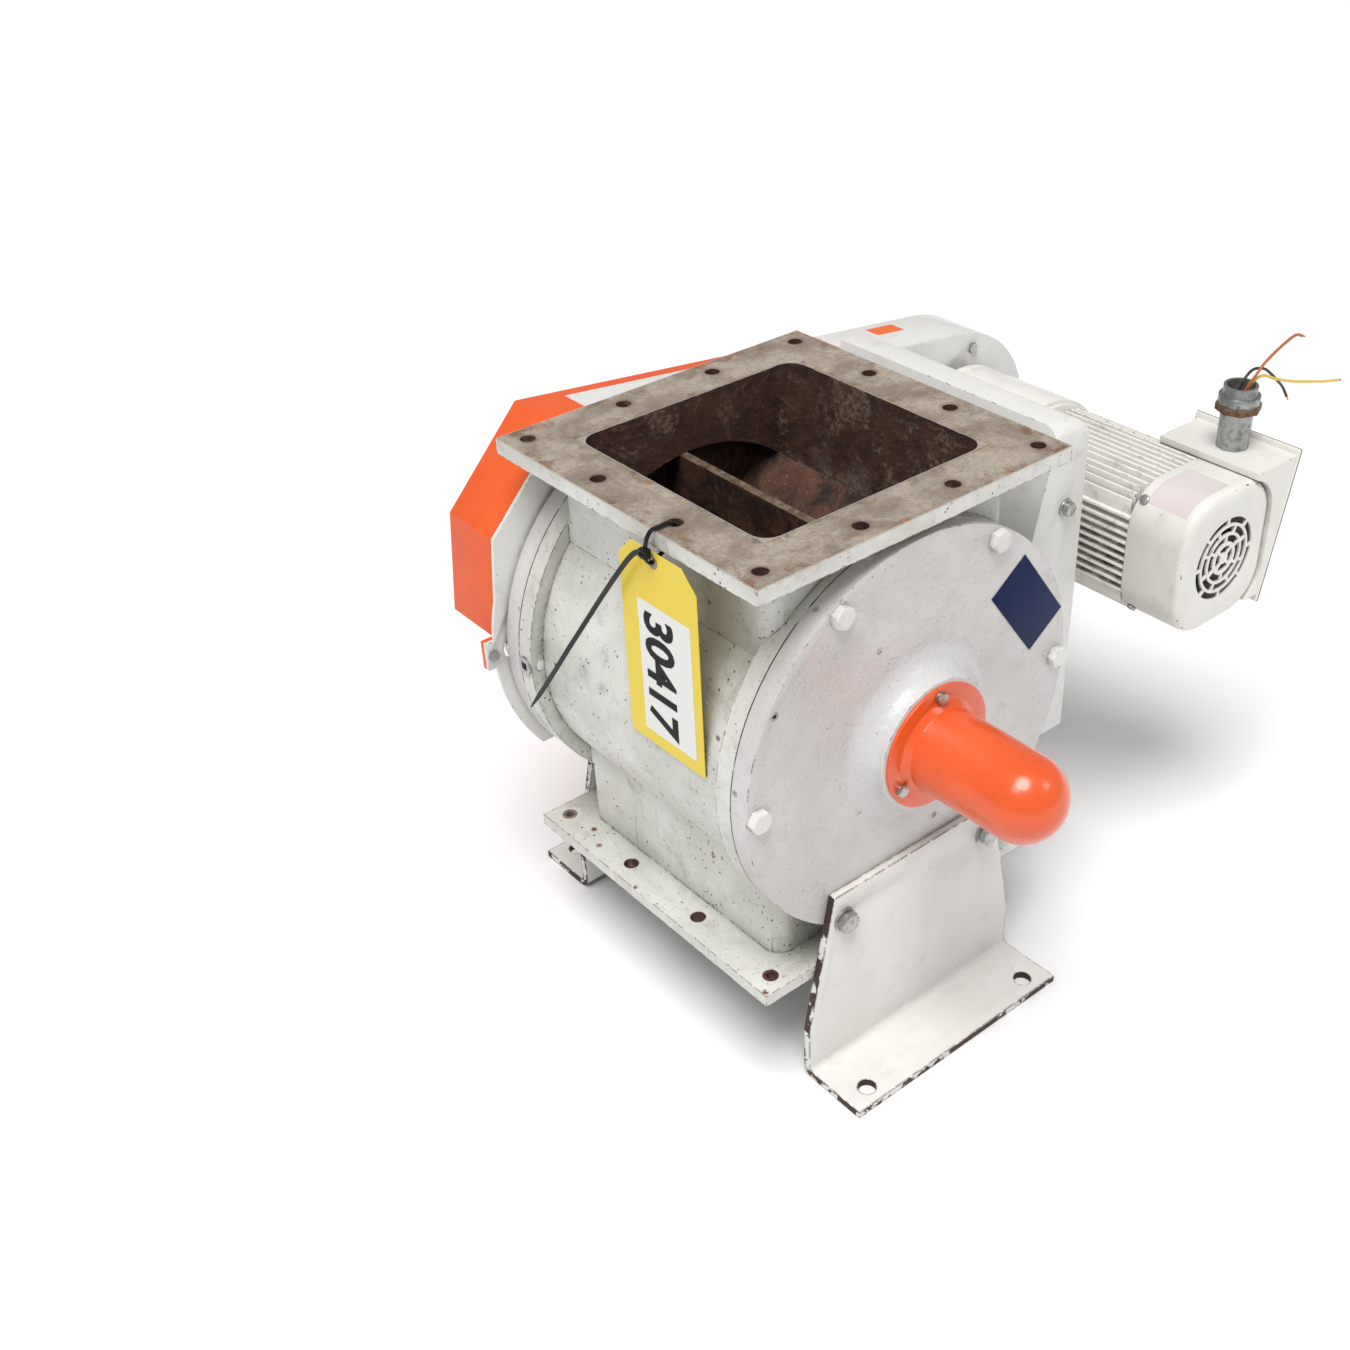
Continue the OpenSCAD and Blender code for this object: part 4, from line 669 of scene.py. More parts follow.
# The fins' dark brown in their gaps, stronger towards the bottom, is dirt and painted shade.
FIN_WHITE = Paint("motor_fins", (0.850, 0.832, 0.785), (0.800, 0.780, 0.725), 0.36, 0.20, 0.002, 0.00010,
                  dirt_and_shade=1.15, chips=0.45, grime_and_shade_colour=(0.055, 0.028, 0.018), dirt_and_shade_heights=(0.272, 0.240))
GUARD_ORANGE = Paint("guard_orange", (0.800, 0.108, 0.016), (0.740, 0.092, 0.013), 0.50, 0.0, 0.003, 0.00005,
                     dirt_and_shade=0.24, chips=0.35, edge_reach=0.001)
DOME_ORANGE = Paint("dome_orange", (0.800, 0.105, 0.016), (0.740, 0.090, 0.013), 0.30, 0.45, 0.005, 0.00005,
                    dirt_and_shade=0.14, chips=0.35, edge_reach=0.001)
PATCH_ORANGE = Paint("patch_orange", (0.850, 0.140, 0.025), (0.800, 0.125, 0.020), 0.50, 0.0, 0.003, 0.00003,
                     dirt_and_shade=0.15, chips=0.0)
NAVY = Paint("plate_navy", (0.005, 0.014, 0.068), (0.007, 0.018, 0.080), 0.52, 0.0, 0.002, 0.00002,
             dirt_and_shade=0.15, chips=0.30, edge_reach=0.0006, chip_colour=(0.5, 0.5, 0.5), gloss=0.15)
LABEL = Paint("label_white", (0.700, 0.630, 0.620), (0.660, 0.580, 0.570), 0.30, 0.3, 0.002, 0.00002,
              dirt_and_shade=0.15, chips=0.0)
ZINC = Metal("zinc_plate", (0.50, 0.50, 0.49), (0.16, 0.13, 0.10), 0.34, 0.45, 0.004)
STEEL = Metal("ground_steel", (0.52, 0.52, 0.52), (0.20, 0.16, 0.13), 0.30, 0.3)
GEAR_STEEL = Metal("gear_steel", (0.36, 0.36, 0.36), (0.05, 0.045, 0.04), 0.38, 0.5)
CHAIN_STEEL = Metal("chain_steel", (0.25, 0.25, 0.25), (0.03, 0.028, 0.025), 0.36, 0.6, 0.003)
BEARING_STEEL = Metal("bearing_steel", (0.66, 0.66, 0.67), (0.30, 0.28, 0.25), 0.2, 0.2)
STATOR_STEEL = Metal("stator_steel", (0.30, 0.28, 0.25), (0.12, 0.05, 0.02), 0.5, 0.4, 0.002)
GALVANISED = Metal("galvanised", (0.40, 0.42, 0.42), (0.15, 0.14, 0.12), 0.40, 0.55, 0.007, 0.00014)
COPPER = Metal("copper_strands", (0.80, 0.36, 0.20), (0.25, 0.10, 0.05), 0.35, 0.4, 0.001)
EYELET = Metal("eyelet", (0.36, 0.28, 0.20), (0.16, 0.11, 0.07), 0.45, 0.5, 0.002)
NUT_RUST = Metal("rusty_nut", (0.22, 0.13, 0.08), (0.11, 0.045, 0.02), 0.75, 0.7, 0.004, 0.0003, 0.3)
RUBBER = Plastic("seal_rubber", (0.020, 0.020, 0.020), 0.6)
FAN_BLACK = Plastic("fan_plastic", (0.030, 0.030, 0.030), 0.5)
TIE_BLACK = Plastic("tie_nylon", (0.010, 0.010, 0.010), 0.35, (0.05, 0.05, 0.05), gloss=0.2)
GASKET = Plastic("gasket_dark", (0.060, 0.058, 0.052), 0.7)
TAG_YELLOW = Plastic("tag_yellow", (0.820, 0.610, 0.030), 0.30, (0.55, 0.45, 0.10), 0.25)
TAG_WHITE = Plastic("tag_panel", (0.780, 0.780, 0.750), 0.30, (0.5, 0.5, 0.45), 0.2)
TAG_INK = Plastic("tag_ink", (0.008, 0.008, 0.008), 0.40, (0.03, 0.03, 0.03), gloss=0.1)
WIRE_YELLOW = Plastic("wire_yellow", (0.760, 0.520, 0.070), 0.4)
WIRE_ORANGE = Plastic("wire_orange", (0.420, 0.120, 0.035), 0.4)
WIRE_BLACK = Plastic("wire_black", (0.030, 0.022, 0.020), 0.4)

Finish = Union[Paint, HousingFinish, BracketFinish, PlateFinish, Metal, RustyRotor, Plastic]
_made: dict[str, Material] = {}


def material_of(finish: "Finish") -> Material:
    """The material of a finish, built once.

    Args:
        finish: the finish.

    Returns:
        The material.
    """
    if finish.name not in _made:
        _made[finish.name] = finish.build()
    return _made[finish.name]


# ---------- Modelling bench ----------

class Axis(Enum):
    """Direction of a turned shape's axis, with the turn that brings +Z to it."""

    X_POS = (0.0, math.pi / 2, 0.0)
    Y_POS = (-math.pi / 2, 0.0, 0.0)
    Y_NEG = (math.pi / 2, 0.0, 0.0)
    Z_POS = (0.0, 0.0, 0.0)


def placed(name: str, data: bpy.types.ID) -> Piece:
    """A new object with this data, linked to the scene.

    Args:
        name: the name of what is made.
        data: its mesh, curve, light or camera.

    Returns:
        The object.
    """
    made = bpy.data.objects.new(name, data)
    bpy.context.scene.collection.objects.link(made)
    return made


def polyline(name: str, points: Sequence[Sequence[float]], **settings: object) -> Piece:
    """A curve with straight stretches through points, and these settings.

    Args:
        name: the name of what is made.
        points: the points, three numbers each.
        settings: the curve's properties.

    Returns:
        The curve object.
    """
    curve = bpy.data.curves.new(name, "CURVE")
    for key, value in settings.items():
        setattr(curve, key, value)
    line = curve.splines.new("POLY")
    line.points.add(len(points) - 1)
    for knot, point in zip(line.points, points):
        knot.co = (*point, 1)
    return placed(name, curve)


class Bench:
    """Modelling tools that work on one piece at a time, as by hand."""

    @staticmethod
    def pick(*pieces: Piece) -> None:
        """Selects these pieces alone, the first one active.

        Args:
            pieces: the pieces.
        """
        bpy.ops.object.select_all(action="DESELECT")
        for piece in pieces:
            piece.select_set(True)
        bpy.context.view_layer.objects.active = pieces[0]

    @staticmethod
    def settle(piece: Piece) -> Piece:
        """Moves the piece's place into its mesh.

        Args:
            piece: the piece.

        Returns:
            The piece.
        """
        Bench.pick(piece)
        bpy.ops.object.transform_apply(location=True, rotation=True, scale=True)
        return piece

    @staticmethod
    def _named(name: str) -> Piece:
        """Names the new active piece and settles it.

        Args:
            name: the name of what is made.

        Returns:
            The piece.
        """
        piece = bpy.context.active_object
        piece.name = name
        piece.data.name = name
        return Bench.settle(piece)

    @staticmethod
    def block(name: str, low: Point, high: Point) -> Piece:
        """A box between two corners.

        Args:
            name: the name of what is made.
            low: its lowest corner.
            high: its highest corner.

        Returns:
            The piece.
        """
        bpy.ops.object.select_all(action="DESELECT")
        centre = [(a + b) / 2 for a, b in zip(low, high)]
        size = [b - a for a, b in zip(low, high)]
        bpy.ops.mesh.primitive_cube_add(size=1, location=centre, scale=size)
        return Bench._named(name)

    @staticmethod
    def rod(name: str, radius: float, start: Point, length: float, axis: Axis, sides: int = 48,
            end_radius: float | None = None) -> Piece:
        """A cylinder or cone that starts at a point and runs along an axis.

        Args:
            name: the name of what is made.
            radius: radius at its start.
            start: middle of its first end.
            length: its length.
            axis: its direction.
            sides: how many sides it has.
            end_radius: radius at its far end, if that differs.

        Returns:
            The piece.
        """
        bpy.ops.object.select_all(action="DESELECT")
        turn = Euler(axis.value)
        middle = Vector(start) + turn.to_matrix() @ Vector((0, 0, length / 2))
        bpy.ops.mesh.primitive_cone_add(vertices=sides, radius1=radius,
                                        radius2=radius if end_radius is None else end_radius,
                                        depth=length, location=middle, rotation=turn)
        return Bench._named(name)

    @staticmethod
    @contextmanager
    def editing(piece: Piece, mode: str = "FACE") -> Iterator[None]:
        """Edit mode on one piece, with nothing selected at first.

        Args:
            piece: the piece.
            mode: what is selected: VERT, EDGE or FACE.

        Returns:
            Nothing, once edit mode is on.
        """
        Bench.pick(piece)
        bpy.ops.object.mode_set(mode="EDIT")
        bpy.ops.mesh.select_mode(type=mode)
        bpy.ops.mesh.select_all(action="DESELECT")
        yield
        bpy.ops.object.mode_set(mode="OBJECT")

    @staticmethod
    def select_edges(piece: Piece, wanted: Callable[[Vector, Vector], bool]) -> None:
        """Selects, in edit mode, the edges whose two ends pass a test.

        Args:
            piece: the piece.
            wanted: tells from an edge's two ends whether it is wanted.
        """
        mesh = bmesh.from_edit_mesh(piece.data)
        mesh.select_mode = {"EDGE"}
        for edge in mesh.edges:
            edge.select_set(wanted(edge.verts[0].co, edge.verts[1].co))
        bmesh.update_edit_mesh(piece.data)

    @staticmethod
    def apply(piece: Piece, kind: str, **settings: object) -> Piece:
        """Adds one modifier and applies it.

        Args:
            piece: the piece.
            kind: the modifier's type.
            settings: the modifier's properties.

        Returns:
            The piece.
        """
        modifier = piece.modifiers.new(kind.title(), kind)
        for name, value in settings.items():
            setattr(modifier, name, value)
        Bench.pick(piece)
        bpy.ops.object.modifier_apply(modifier=modifier.name)
        return piece

    @staticmethod
    def cut(piece: Piece, *tools: Piece, operation: str = "DIFFERENCE") -> Piece:
        """Cuts, joins or intersects the piece with tools, which are used up.

        Args:
            piece: the piece.
            tools: the shapes, which are used up.
            operation: DIFFERENCE, UNION or INTERSECT.

        Returns:
            The piece.
        """
        for tool in tools:
            Bench.apply(piece, "BOOLEAN", operation=operation, object=tool, solver="EXACT")
            bpy.data.objects.remove(tool)
        return piece

    @staticmethod
    def round_edges(piece: Piece, width: float, segments: int = 2, angle: float = 30) -> Piece:
        """Rounds every edge sharper than an angle, and shades the piece smooth.

        Args:
            piece: the piece.
            width: how far an edge is rounded.
            segments: steps across the rounding.
            angle: the angle, in degrees.

        Returns:
            The piece.
        """
        Bench.apply(piece, "BEVEL", width=width, segments=segments, limit_method="ANGLE",
                    angle_limit=math.radians(angle), use_clamp_overlap=True)
        return Bench.smooth(piece)

    @staticmethod
    def smooth(piece: Piece, angle: float = 32) -> Piece:
        """Shades smooth, up to an angle between faces.

        Args:
            piece: the piece.
            angle: the angle, in degrees.

        Returns:
            The piece.
        """
        Bench.pick(piece)
        bpy.ops.object.shade_smooth_by_angle(angle=math.radians(angle))
        return piece

    @staticmethod
    def copy(piece: Piece, name: str, place: Matrix | None = None) -> Piece:
        """A copy with its own mesh, moved by a matrix.

        Args:
            piece: the piece.
            name: the name of what is made.
            place: the matrix that moves it, if any.

        Returns:
            The copy.
        """
        twin = piece.copy()
        twin.data = piece.data.copy()
        twin.name = name
        bpy.context.scene.collection.objects.link(twin)
        if place is not None:
            twin.data.transform(place)
        return twin

    @staticmethod
    def unmark(piece: Piece) -> Piece:
        """Takes the frame's marks off a copy, so that it stands for no node by itself.

        Args:
            piece: the piece.

        Returns:
            The piece.
        """
        for key in [k for k in piece.keys() if k.startswith("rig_")]:
            del piece[key]
        return piece

    @staticmethod
    def join(name: str, pieces: Sequence[Piece]) -> Piece:
        """Joins pieces into one.

        Args:
            name: the name of what is made.
            pieces: the pieces.

        Returns:
            The joined piece.
        """
        Bench.pick(*pieces)
        if len(pieces) > 1:
            bpy.ops.object.join()
        pieces[0].name = name
        pieces[0].data.name = name
        return pieces[0]

    @staticmethod
    def outline_slab(name: str, outline: Sequence[tuple[float, float]], low: float, high: float,
                     axis: Axis) -> Piece:
        """A flat outline extruded between two stations.

        Args:
            name: the piece's name.
            outline: its points in X and Z for a Y axis, or in Y and Z for an X axis.
            low: the station where it starts.
            high: the station where it ends.
            axis: the direction of the extrusion.

        Returns:
            The closed piece.
        """
        bpy.ops.object.select_all(action="DESELECT")
        bpy.ops.mesh.primitive_circle_add(vertices=len(outline), radius=1, fill_type="NGON")
        piece = bpy.context.active_object
        for vertex, (across, up) in zip(piece.data.vertices, outline):
            vertex.co = (low, across, up) if axis is Axis.X_POS else (across, low, up)
        way = (high - low, 0, 0) if axis is Axis.X_POS else (0, high - low, 0)
        with Bench.editing(piece):
            bpy.ops.mesh.select_all(action="SELECT")
            bpy.ops.mesh.extrude_region_move(TRANSFORM_OT_translate={"value": way})
            bpy.ops.mesh.select_all(action="SELECT")
            bpy.ops.mesh.normals_make_consistent(inside=False)
        return Bench._named(name)

    @staticmethod
    def lettering(name: str, words: str, width: float, height: float, thick: float) -> Piece:
        """Figures in the XY plane, centred on the origin and stretched to a width and a height.

        Args:
            name: the name of what is made.
            words: the figures.
            width: their width in all.
            height: their height.
            thick: their thickness.

        Returns:
            The figures.
        """
        bpy.ops.object.select_all(action="DESELECT")
        bpy.ops.object.text_add()
        text = bpy.context.active_object
        text.data.body = words
        text.data.extrude = 0.5
        text.data.offset = 0.030
        text.data.resolution_u = 4
        bpy.ops.object.convert(target="MESH")
        piece = bpy.context.active_object
        corners = [Vector(c) for c in piece.bound_box]
        low, high = corners[0], corners[6]
        middle = (low + high) / 2
        piece.data.transform(Matrix.Diagonal((width / (high.x - low.x), height / (high.y - low.y),
                                              thick / (high.z - low.z), 1)) @ Matrix.Translation(-middle))
        return Bench._named(name)

    @staticmethod
    def ribbon(name: str, points: Sequence[Vector], width: float, thick: float, axis: Axis) -> Piece:
        """A flat strap through points, rounded at its edges.

        Args:
            name: the piece's name.
            points: the strap's middle line, which lies across the axis.
            width: size of the strap along the axis.
            thick: its thickness.
            axis: Y_POS for a strap in an XZ plane, X_POS for one in a YZ plane.

        Returns:
            The piece.
        """
        to_world = Matrix(((1, 0, 0), (0, 0, -1), (0, 1, 0))) if axis is Axis.Y_POS else \
            Matrix(((0, 0, 1), (1, 0, 0), (0, 1, 0)))
        to_flat = to_world.transposed()
        flat = [(*(to_flat @ point).xy, 0) for point in points]
        strap = polyline(name, flat, dimensions="2D", extrude=(width - thick) / 2,
                         bevel_depth=thick / 2, bevel_resolution=2, use_fill_caps=True,
                         fill_mode="NONE")
        Bench.pick(strap)
        bpy.ops.object.convert(target="MESH")
        piece = bpy.context.active_object
        depth = (to_flat @ points[0]).z
        piece.data.transform(to_world.to_4x4() @ Matrix.Translation((0, 0, depth)))
        return Bench.smooth(Bench._named(name), 40)

    @staticmethod
    def patch(name: str, low: tuple[float, float], high: tuple[float, float], start: float,
              target: Piece, axis: Axis, lift: float = 0.0001, thick: float = 0.00015) -> Piece:
        """A thin sheet laid on another piece.

        Args:
            name: the piece's name.
            low: its lower corner, in X and Y for a Z axis or Y and Z for an X axis.
            high: its upper corner.
            start: the station from which it drops on to the target, against a Z axis or along an X axis.
            target: the piece that it lies on.
            axis: Z_POS to lay it on from above, X_POS to lay it on from the left.
            lift: the gap beneath it.
            thick: its thickness.

        Returns:
            The sheet.
        """
        bpy.ops.object.select_all(action="DESELECT")
        size = (high[0] - low[0], high[1] - low[1])
        middle = ((low[0] + high[0]) / 2, (low[1] + high[1]) / 2)
        bpy.ops.mesh.primitive_grid_add(x_subdivisions=24, y_subdivisions=16, size=1)
        sheet = bpy.context.active_object
        if axis is Axis.X_POS:
            place = Matrix(((0, 0, -1, start), (1, 0, 0, middle[0]), (0, -1, 0, middle[1]), (0, 0, 0, 1)))
        else:
            place = Matrix.Translation((*middle, start))
        sheet.data.transform(place @ Matrix.Diagonal((*size, 1, 1)))
        wrap = {"use_project_x": True} if axis is Axis.X_POS else {"use_project_z": True}
        Bench.apply(sheet, "SHRINKWRAP", target=target, wrap_method="PROJECT", use_positive_direction=True,
                    use_negative_direction=True, offset=lift, **wrap)
        Bench.apply(sheet, "SOLIDIFY", thickness=thick, offset=1.0)
        return Bench.smooth(Bench._named(name), 40)

    @staticmethod
    def refined(node: str, name: str, width: float, segments: int = 2, angle: float = 30,
                wide: Callable[[Vector, Vector], bool] | None = None, wide_width: float = 0.0,
                tools: Sequence[Piece] = ()) -> Piece:
        """A copy of a CAD node with merged faces and rounded edges.

        Args:
            node: the CAD node.
            name: the copy's name.
            width: how far its edges are rounded.
            segments: steps across each rounding.
            angle: the least angle, in degrees, between the faces of an edge that is rounded.
            wide: tells which edges, by their two ends, are rounded more.
            wide_width: how far those are rounded.
            tools: shapes that are cut away before the edges are rounded, and used up.

        Returns:
            The copy.
        """
        piece = Bench.unmark(Bench.copy(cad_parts[node], name))
        piece.parent = None
        with Bench.editing(piece, "VERT"):
            bpy.ops.mesh.select_all(action="SELECT")
            bpy.ops.mesh.remove_doubles(threshold=0.00002)
            bpy.ops.mesh.customdata_custom_splitnormals_clear()
            bpy.ops.mesh.dissolve_limited(angle_limit=math.radians(0.6))
        if wide:
            with Bench.editing(piece, "EDGE"):
                Bench.select_edges(piece, wide)
                bpy.ops.mesh.bevel(offset=wide_width, segments=6, affect="EDGES")
        piece.data.materials.clear()
        Bench.cut(piece, *tools)
        return Bench.round_edges(piece, width, segments, angle)


def fit(piece: Piece, finish: Finish, body: str, slot: str, *nodes: str) -> Piece:
    """Gives a finished piece its material and body, and hides the nodes it stands for.

    Args:
        piece: the finished piece.
        finish: its finish.
        body: the CAD body that carries it.
        slot: not used.
        nodes: the CAD nodes it replaces.

    Returns:
        The piece.
    """
    piece.data.materials.clear()
    piece.data.materials.append(material_of(finish))
    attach(piece, body)
    if nodes:
        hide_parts(*nodes)
    LOG.info("%s on %s", piece.name, body)
    return piece


def dress(node: str, finish: Finish) -> None:
    """Gives a CAD node its material.

    Args:
        node: the CAD node.
        finish: the finish.
    """
    node_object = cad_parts[node]
    if not node_object.material_slots:
        node_object.data.materials.append(None)
    for place in node_object.material_slots:
        place.material = material_of(finish)
    LOG.info("%s dressed", node)


FIXED = "valve_body"
TURNING = "rotor_assembly"


# ---------- Studio ----------

@dataclass
class Studio:
    """Pale floor, soft light and the camera."""

    eye: Point = (-0.8520, -0.9900, 1.0682)
    azimuth: float = -39.27
    elevation: float = 34.73
    roll: float = -1.80
    lens: float = 43.98
    shift: tuple[float, float] = (-0.0556, 0.0185)
    sensor: float = 36
    floor_half: float = 14.0
    floor_colour: Colour = (0.90, 0.90, 0.90)
    floor_roughness: float = 0.85
    sky_light: float = 0.37
    backdrop_light: float = 1.0
    sun_light: float = 2.55
    sun_spread: float = 32
    sun_from: Point = (-0.30, -0.20, 1.0)
    lamp_aim: Point = (0.15, 0, 0.15)

    def build(self, floor_z: float) -> None:
        """Makes the floor, the lights and the camera.

        Args:
            floor_z: height of the surface that the valve stands on.
        """
        self.build_floor(floor_z)
        self.build_world()
        self.build_sun()
        self.build_light("strip", (-1.6, -0.6, 2.4), 8, 0.9)
        self.build_light("window", (1.2, -1.9, 1.9), 6, 0.7)
        self.build_camera()

    def build_floor(self, floor_z: float) -> None:
        """A wide pale floor.

        Args:
            floor_z: its height.
        """
        bpy.ops.object.select_all(action="DESELECT")
        bpy.ops.mesh.primitive_plane_add(size=2 * self.floor_half, location=(0, 0, floor_z))
        floor = bpy.context.active_object
        floor.name = "floor"
        graph = ShaderGraph("floor_pale")
        floor.data.materials.append(graph.finish(self.floor_colour, self.floor_roughness))

    def build_world(self) -> None:
        """Even pale light from all round, in front of a brighter backdrop."""
        world = bpy.data.worlds.new("studio")
        world.use_nodes = True
        backdrop = world.node_tree.nodes["Background"]
        backdrop.inputs["Color"].default_value = (1.0, 1.0, 1.0, 1.0)
        seen = world.node_tree.nodes.new("ShaderNodeLightPath").outputs["Is Camera Ray"]
        strength = world.node_tree.nodes.new("ShaderNodeMapRange")
        strength.inputs["To Min"].default_value = self.sky_light
        strength.inputs["To Max"].default_value = self.backdrop_light
        world.node_tree.links.new(seen, strength.inputs["Value"])
        world.node_tree.links.new(strength.outputs["Result"], backdrop.inputs["Strength"])
        bpy.context.scene.world = world
        bpy.context.scene.view_settings.view_transform = "Standard"

    @staticmethod
    def turned_from(lamp: Piece, way: Vector) -> None:
        """Turns a lamp so that it shines against a direction."""
        lamp.rotation_euler = way.to_track_quat("Z", "Y").to_euler()

    def build_sun(self) -> None:
        """A wide soft sun high on the left."""
        data = bpy.data.lights.new("sky", "SUN")
        data.energy = self.sun_light
        data.angle = math.radians(self.sun_spread)
        self.turned_from(placed("sky", data), Vector(self.sun_from))

    def build_light(self, name: str, place: Point, watts: float, size: float) -> None:
        """One square area light aimed at the valve.

        Args:
            name: the name of what is made.
            place: where it is.
            watts: its power.
            size: length of its side.
        """
        data = bpy.data.lights.new(name, "AREA")
        data.energy = watts
        data.size = size
        lamp = placed(name, data)
        lamp.location = place
        self.turned_from(lamp, Vector(place) - Vector(self.lamp_aim))

    def build_camera(self) -> None:
        """The camera, which looks down on the valve's front left corner."""
        data = bpy.data.cameras.new("camera")
        data.lens = self.lens
        data.sensor_width = self.sensor
        data.shift_x, data.shift_y = self.shift
        camera = placed("camera", data)
        camera.location = self.eye
        turn = (Matrix.Rotation(math.radians(self.azimuth), 3, "Z")
                @ Matrix.Rotation(math.radians(90 - self.elevation), 3, "X")
                @ Matrix.Rotation(math.radians(self.roll), 3, "Z"))
        camera.rotation_euler = turn.to_euler()
        bpy.context.scene.camera = camera


# ---------- Wire leads ----------

def smooth_path(knots: Sequence[Vector], steps: int) -> list[Vector]:
    """Points along the smooth curve through knots.

    Args:
        knots: the points that the curve goes through.
        steps: how many points each stretch gets.

    Returns:
        The curve's points.
    """
    last = len(knots) - 1
    points = []
    for i in range(last):
        before, start, end, after = (knots[max(0, min(last, i + k))] for k in (-1, 0, 1, 2))
        for k in range(steps):
            t = k / steps
            points.append(0.5 * (2 * start + (end - before) * t
                                 + (2 * before - 5 * start + 4 * end - after) * t ** 2
                                 + (3 * start - before - 3 * end + after) * t ** 3))
    return points + [knots[last]]


@dataclass
class Lead:
    """One insulated motor lead, from inside the conduit fitting to its stripped end."""

    colour: str
    finish: Plastic
    route: Sequence[Point]
    diameter: float = 0.003
    steps: int = 6
    stripped: float = 0.007
    strand_count: int = 7
    strand_r: float = 0.00032
    strand_ring: float = 0.0005
    strand_lean: float = 7

    def build(self) -> None:
        """Makes the insulated wire and its bare strands."""
        points = smooth_path([Vector(p) / 1000 for p in self.route], self.steps)
        wire = polyline(f"lead_{self.colour}_wire", points, dimensions="3D",
                        bevel_depth=self.diameter / 2, bevel_resolution=3, use_fill_caps=True)
        strands = self.build_strands(points[-1], (points[-1] - points[-2]).normalized())
        fit(wire, self.finish, FIXED, f"wire_{self.colour}", f"lead_{self.colour}")
        fit(strands, COPPER, FIXED, f"wire_{self.colour}")

    def build_strands(self, end: Vector, along: Vector) -> Piece:
        """A fan of bare copper strands at the wire's end.

        Args:
            end: the wire's end.
            along: the direction of the wire there.

        Returns:
            The strands as one piece.
        """
        turn = along.to_track_quat("Z", "Y").to_matrix().to_4x4()
        strand = Bench.rod("strand", self.strand_r, (0, 0, 0), self.stripped, Axis.Z_POS, 6)
        copies = []
        for k in range(self.strand_count):
            lean = Matrix.Rotation(math.radians(self.strand_lean if k else 0), 4,
                                   Vector((math.cos(k), math.sin(k), 0)))
            round_wire = k * 1.05
            side = Matrix.Translation((self.strand_ring * math.cos(round_wire),
                                       self.strand_ring * math.sin(round_wire), -0.001))
            place = Matrix.Translation(end) @ turn @ side @ lean
            copies.append(Bench.copy(strand, f"strand_{k}", place))
        bpy.data.objects.remove(strand)
        return Bench.join(f"lead_{self.colour}_strands", copies)


LEADS = (
    Lead("yellow", WIRE_YELLOW, ((483, -143, 362), (483, -143, 372), (488, -145, 386), (503, -147, 391),
                                 (528, -147, 380), (559, -147, 368), (591, -147, 358), (620, -146, 349),
                                 (650, -145, 341))),
    Lead("orange", WIRE_ORANGE, ((478, -143, 362), (478, -143, 372), (483, -146, 387), (490, -148, 396),
                                 (500, -148, 404), (515, -148, 411), (533, -147, 416), (552, -146, 419),
                                 (566, -145, 414))),
    Lead("black", WIRE_BLACK, ((481, -136, 362), (481, -136, 372), (486, -137, 387), (500, -137, 395),
                               (518, -138, 391), (532, -139, 381), (545, -139, 370), (556, -139, 360),
                               (566, -139, 347))),
)


# ---------- Assemblies ----------

@dataclass(frozen=True)
class Refined:
    """A CAD node that is shown as a copy with rounded edges."""

    node: str
    finish: Finish
    slot: str
    width: float
    segments: int = 2
    angle: float = 30
    body: str = FIXED
    wide: Callable[[Vector, Vector], bool] | None = None
    wide_width: float = 0.0
    tools: Sequence[Piece] = ()

    def build(self) -> Piece:
        """Makes the copy and puts it in the node's place.

        Returns:
            The finished copy.
        """
        piece = Bench.refined(self.node, f"{self.node}_skin", self.width, self.segments, self.angle,
                              self.wide, self.wide_width, self.tools)
        return fit(piece, self.finish, self.body, self.slot, self.node)


def polar(radius: float, degrees: float) -> tuple[float, float]:
    """A point at an angle from +X towards +Z."""
    return radius * math.cos(math.radians(degrees)), radius * math.sin(math.radians(degrees))


@dataclass(frozen=True)
class Screw:
    """Hexagon screw with a chamfered head, a washer face and a shank."""

    across: float
    head: float
    shank: float
    length: float
    flange: float = 0.0
    flange_t: float = 0.0012
    crown: float = 0.475  # radius of the head's flat top, as a share of the size across flats
    chamfer: float = 1.73  # how far the chamfer spreads for each unit of the head's height

    def build(self, name: str) -> Piece:
        """Makes one screw along +Z, with its seat at the origin.

        Args:
            name: the name of what is made.

        Returns:
            The screw.
        """
        head = Bench.rod(name, self.across / math.sqrt(3), (0, 0, 0), self.head, Axis.Z_POS, 6)
        top_r = self.crown * self.across
        crown = Bench.rod("crown", top_r + self.chamfer * self.head, (0, 0, 0), self.head,
                          Axis.Z_POS, 48, top_r)
        Bench.cut(head, crown, operation="INTERSECT")
        Bench.round_edges(head, 0.02 * self.across, 2, 20)
        shank = Bench.rod("shank", self.shank / 2, (0, 0, -self.length), self.length + 0.001,
                          Axis.Z_POS, 32)
        Bench.round_edges(shank, 0.08 * self.shank)
        parts = [head, shank]
        if self.flange:
            flange = Bench.rod("flange", self.flange, (0, 0, 0), self.flange_t, Axis.Z_POS, 40)
            parts.append(Bench.round_edges(flange, 0.0003))
        return Bench.join(name, parts)


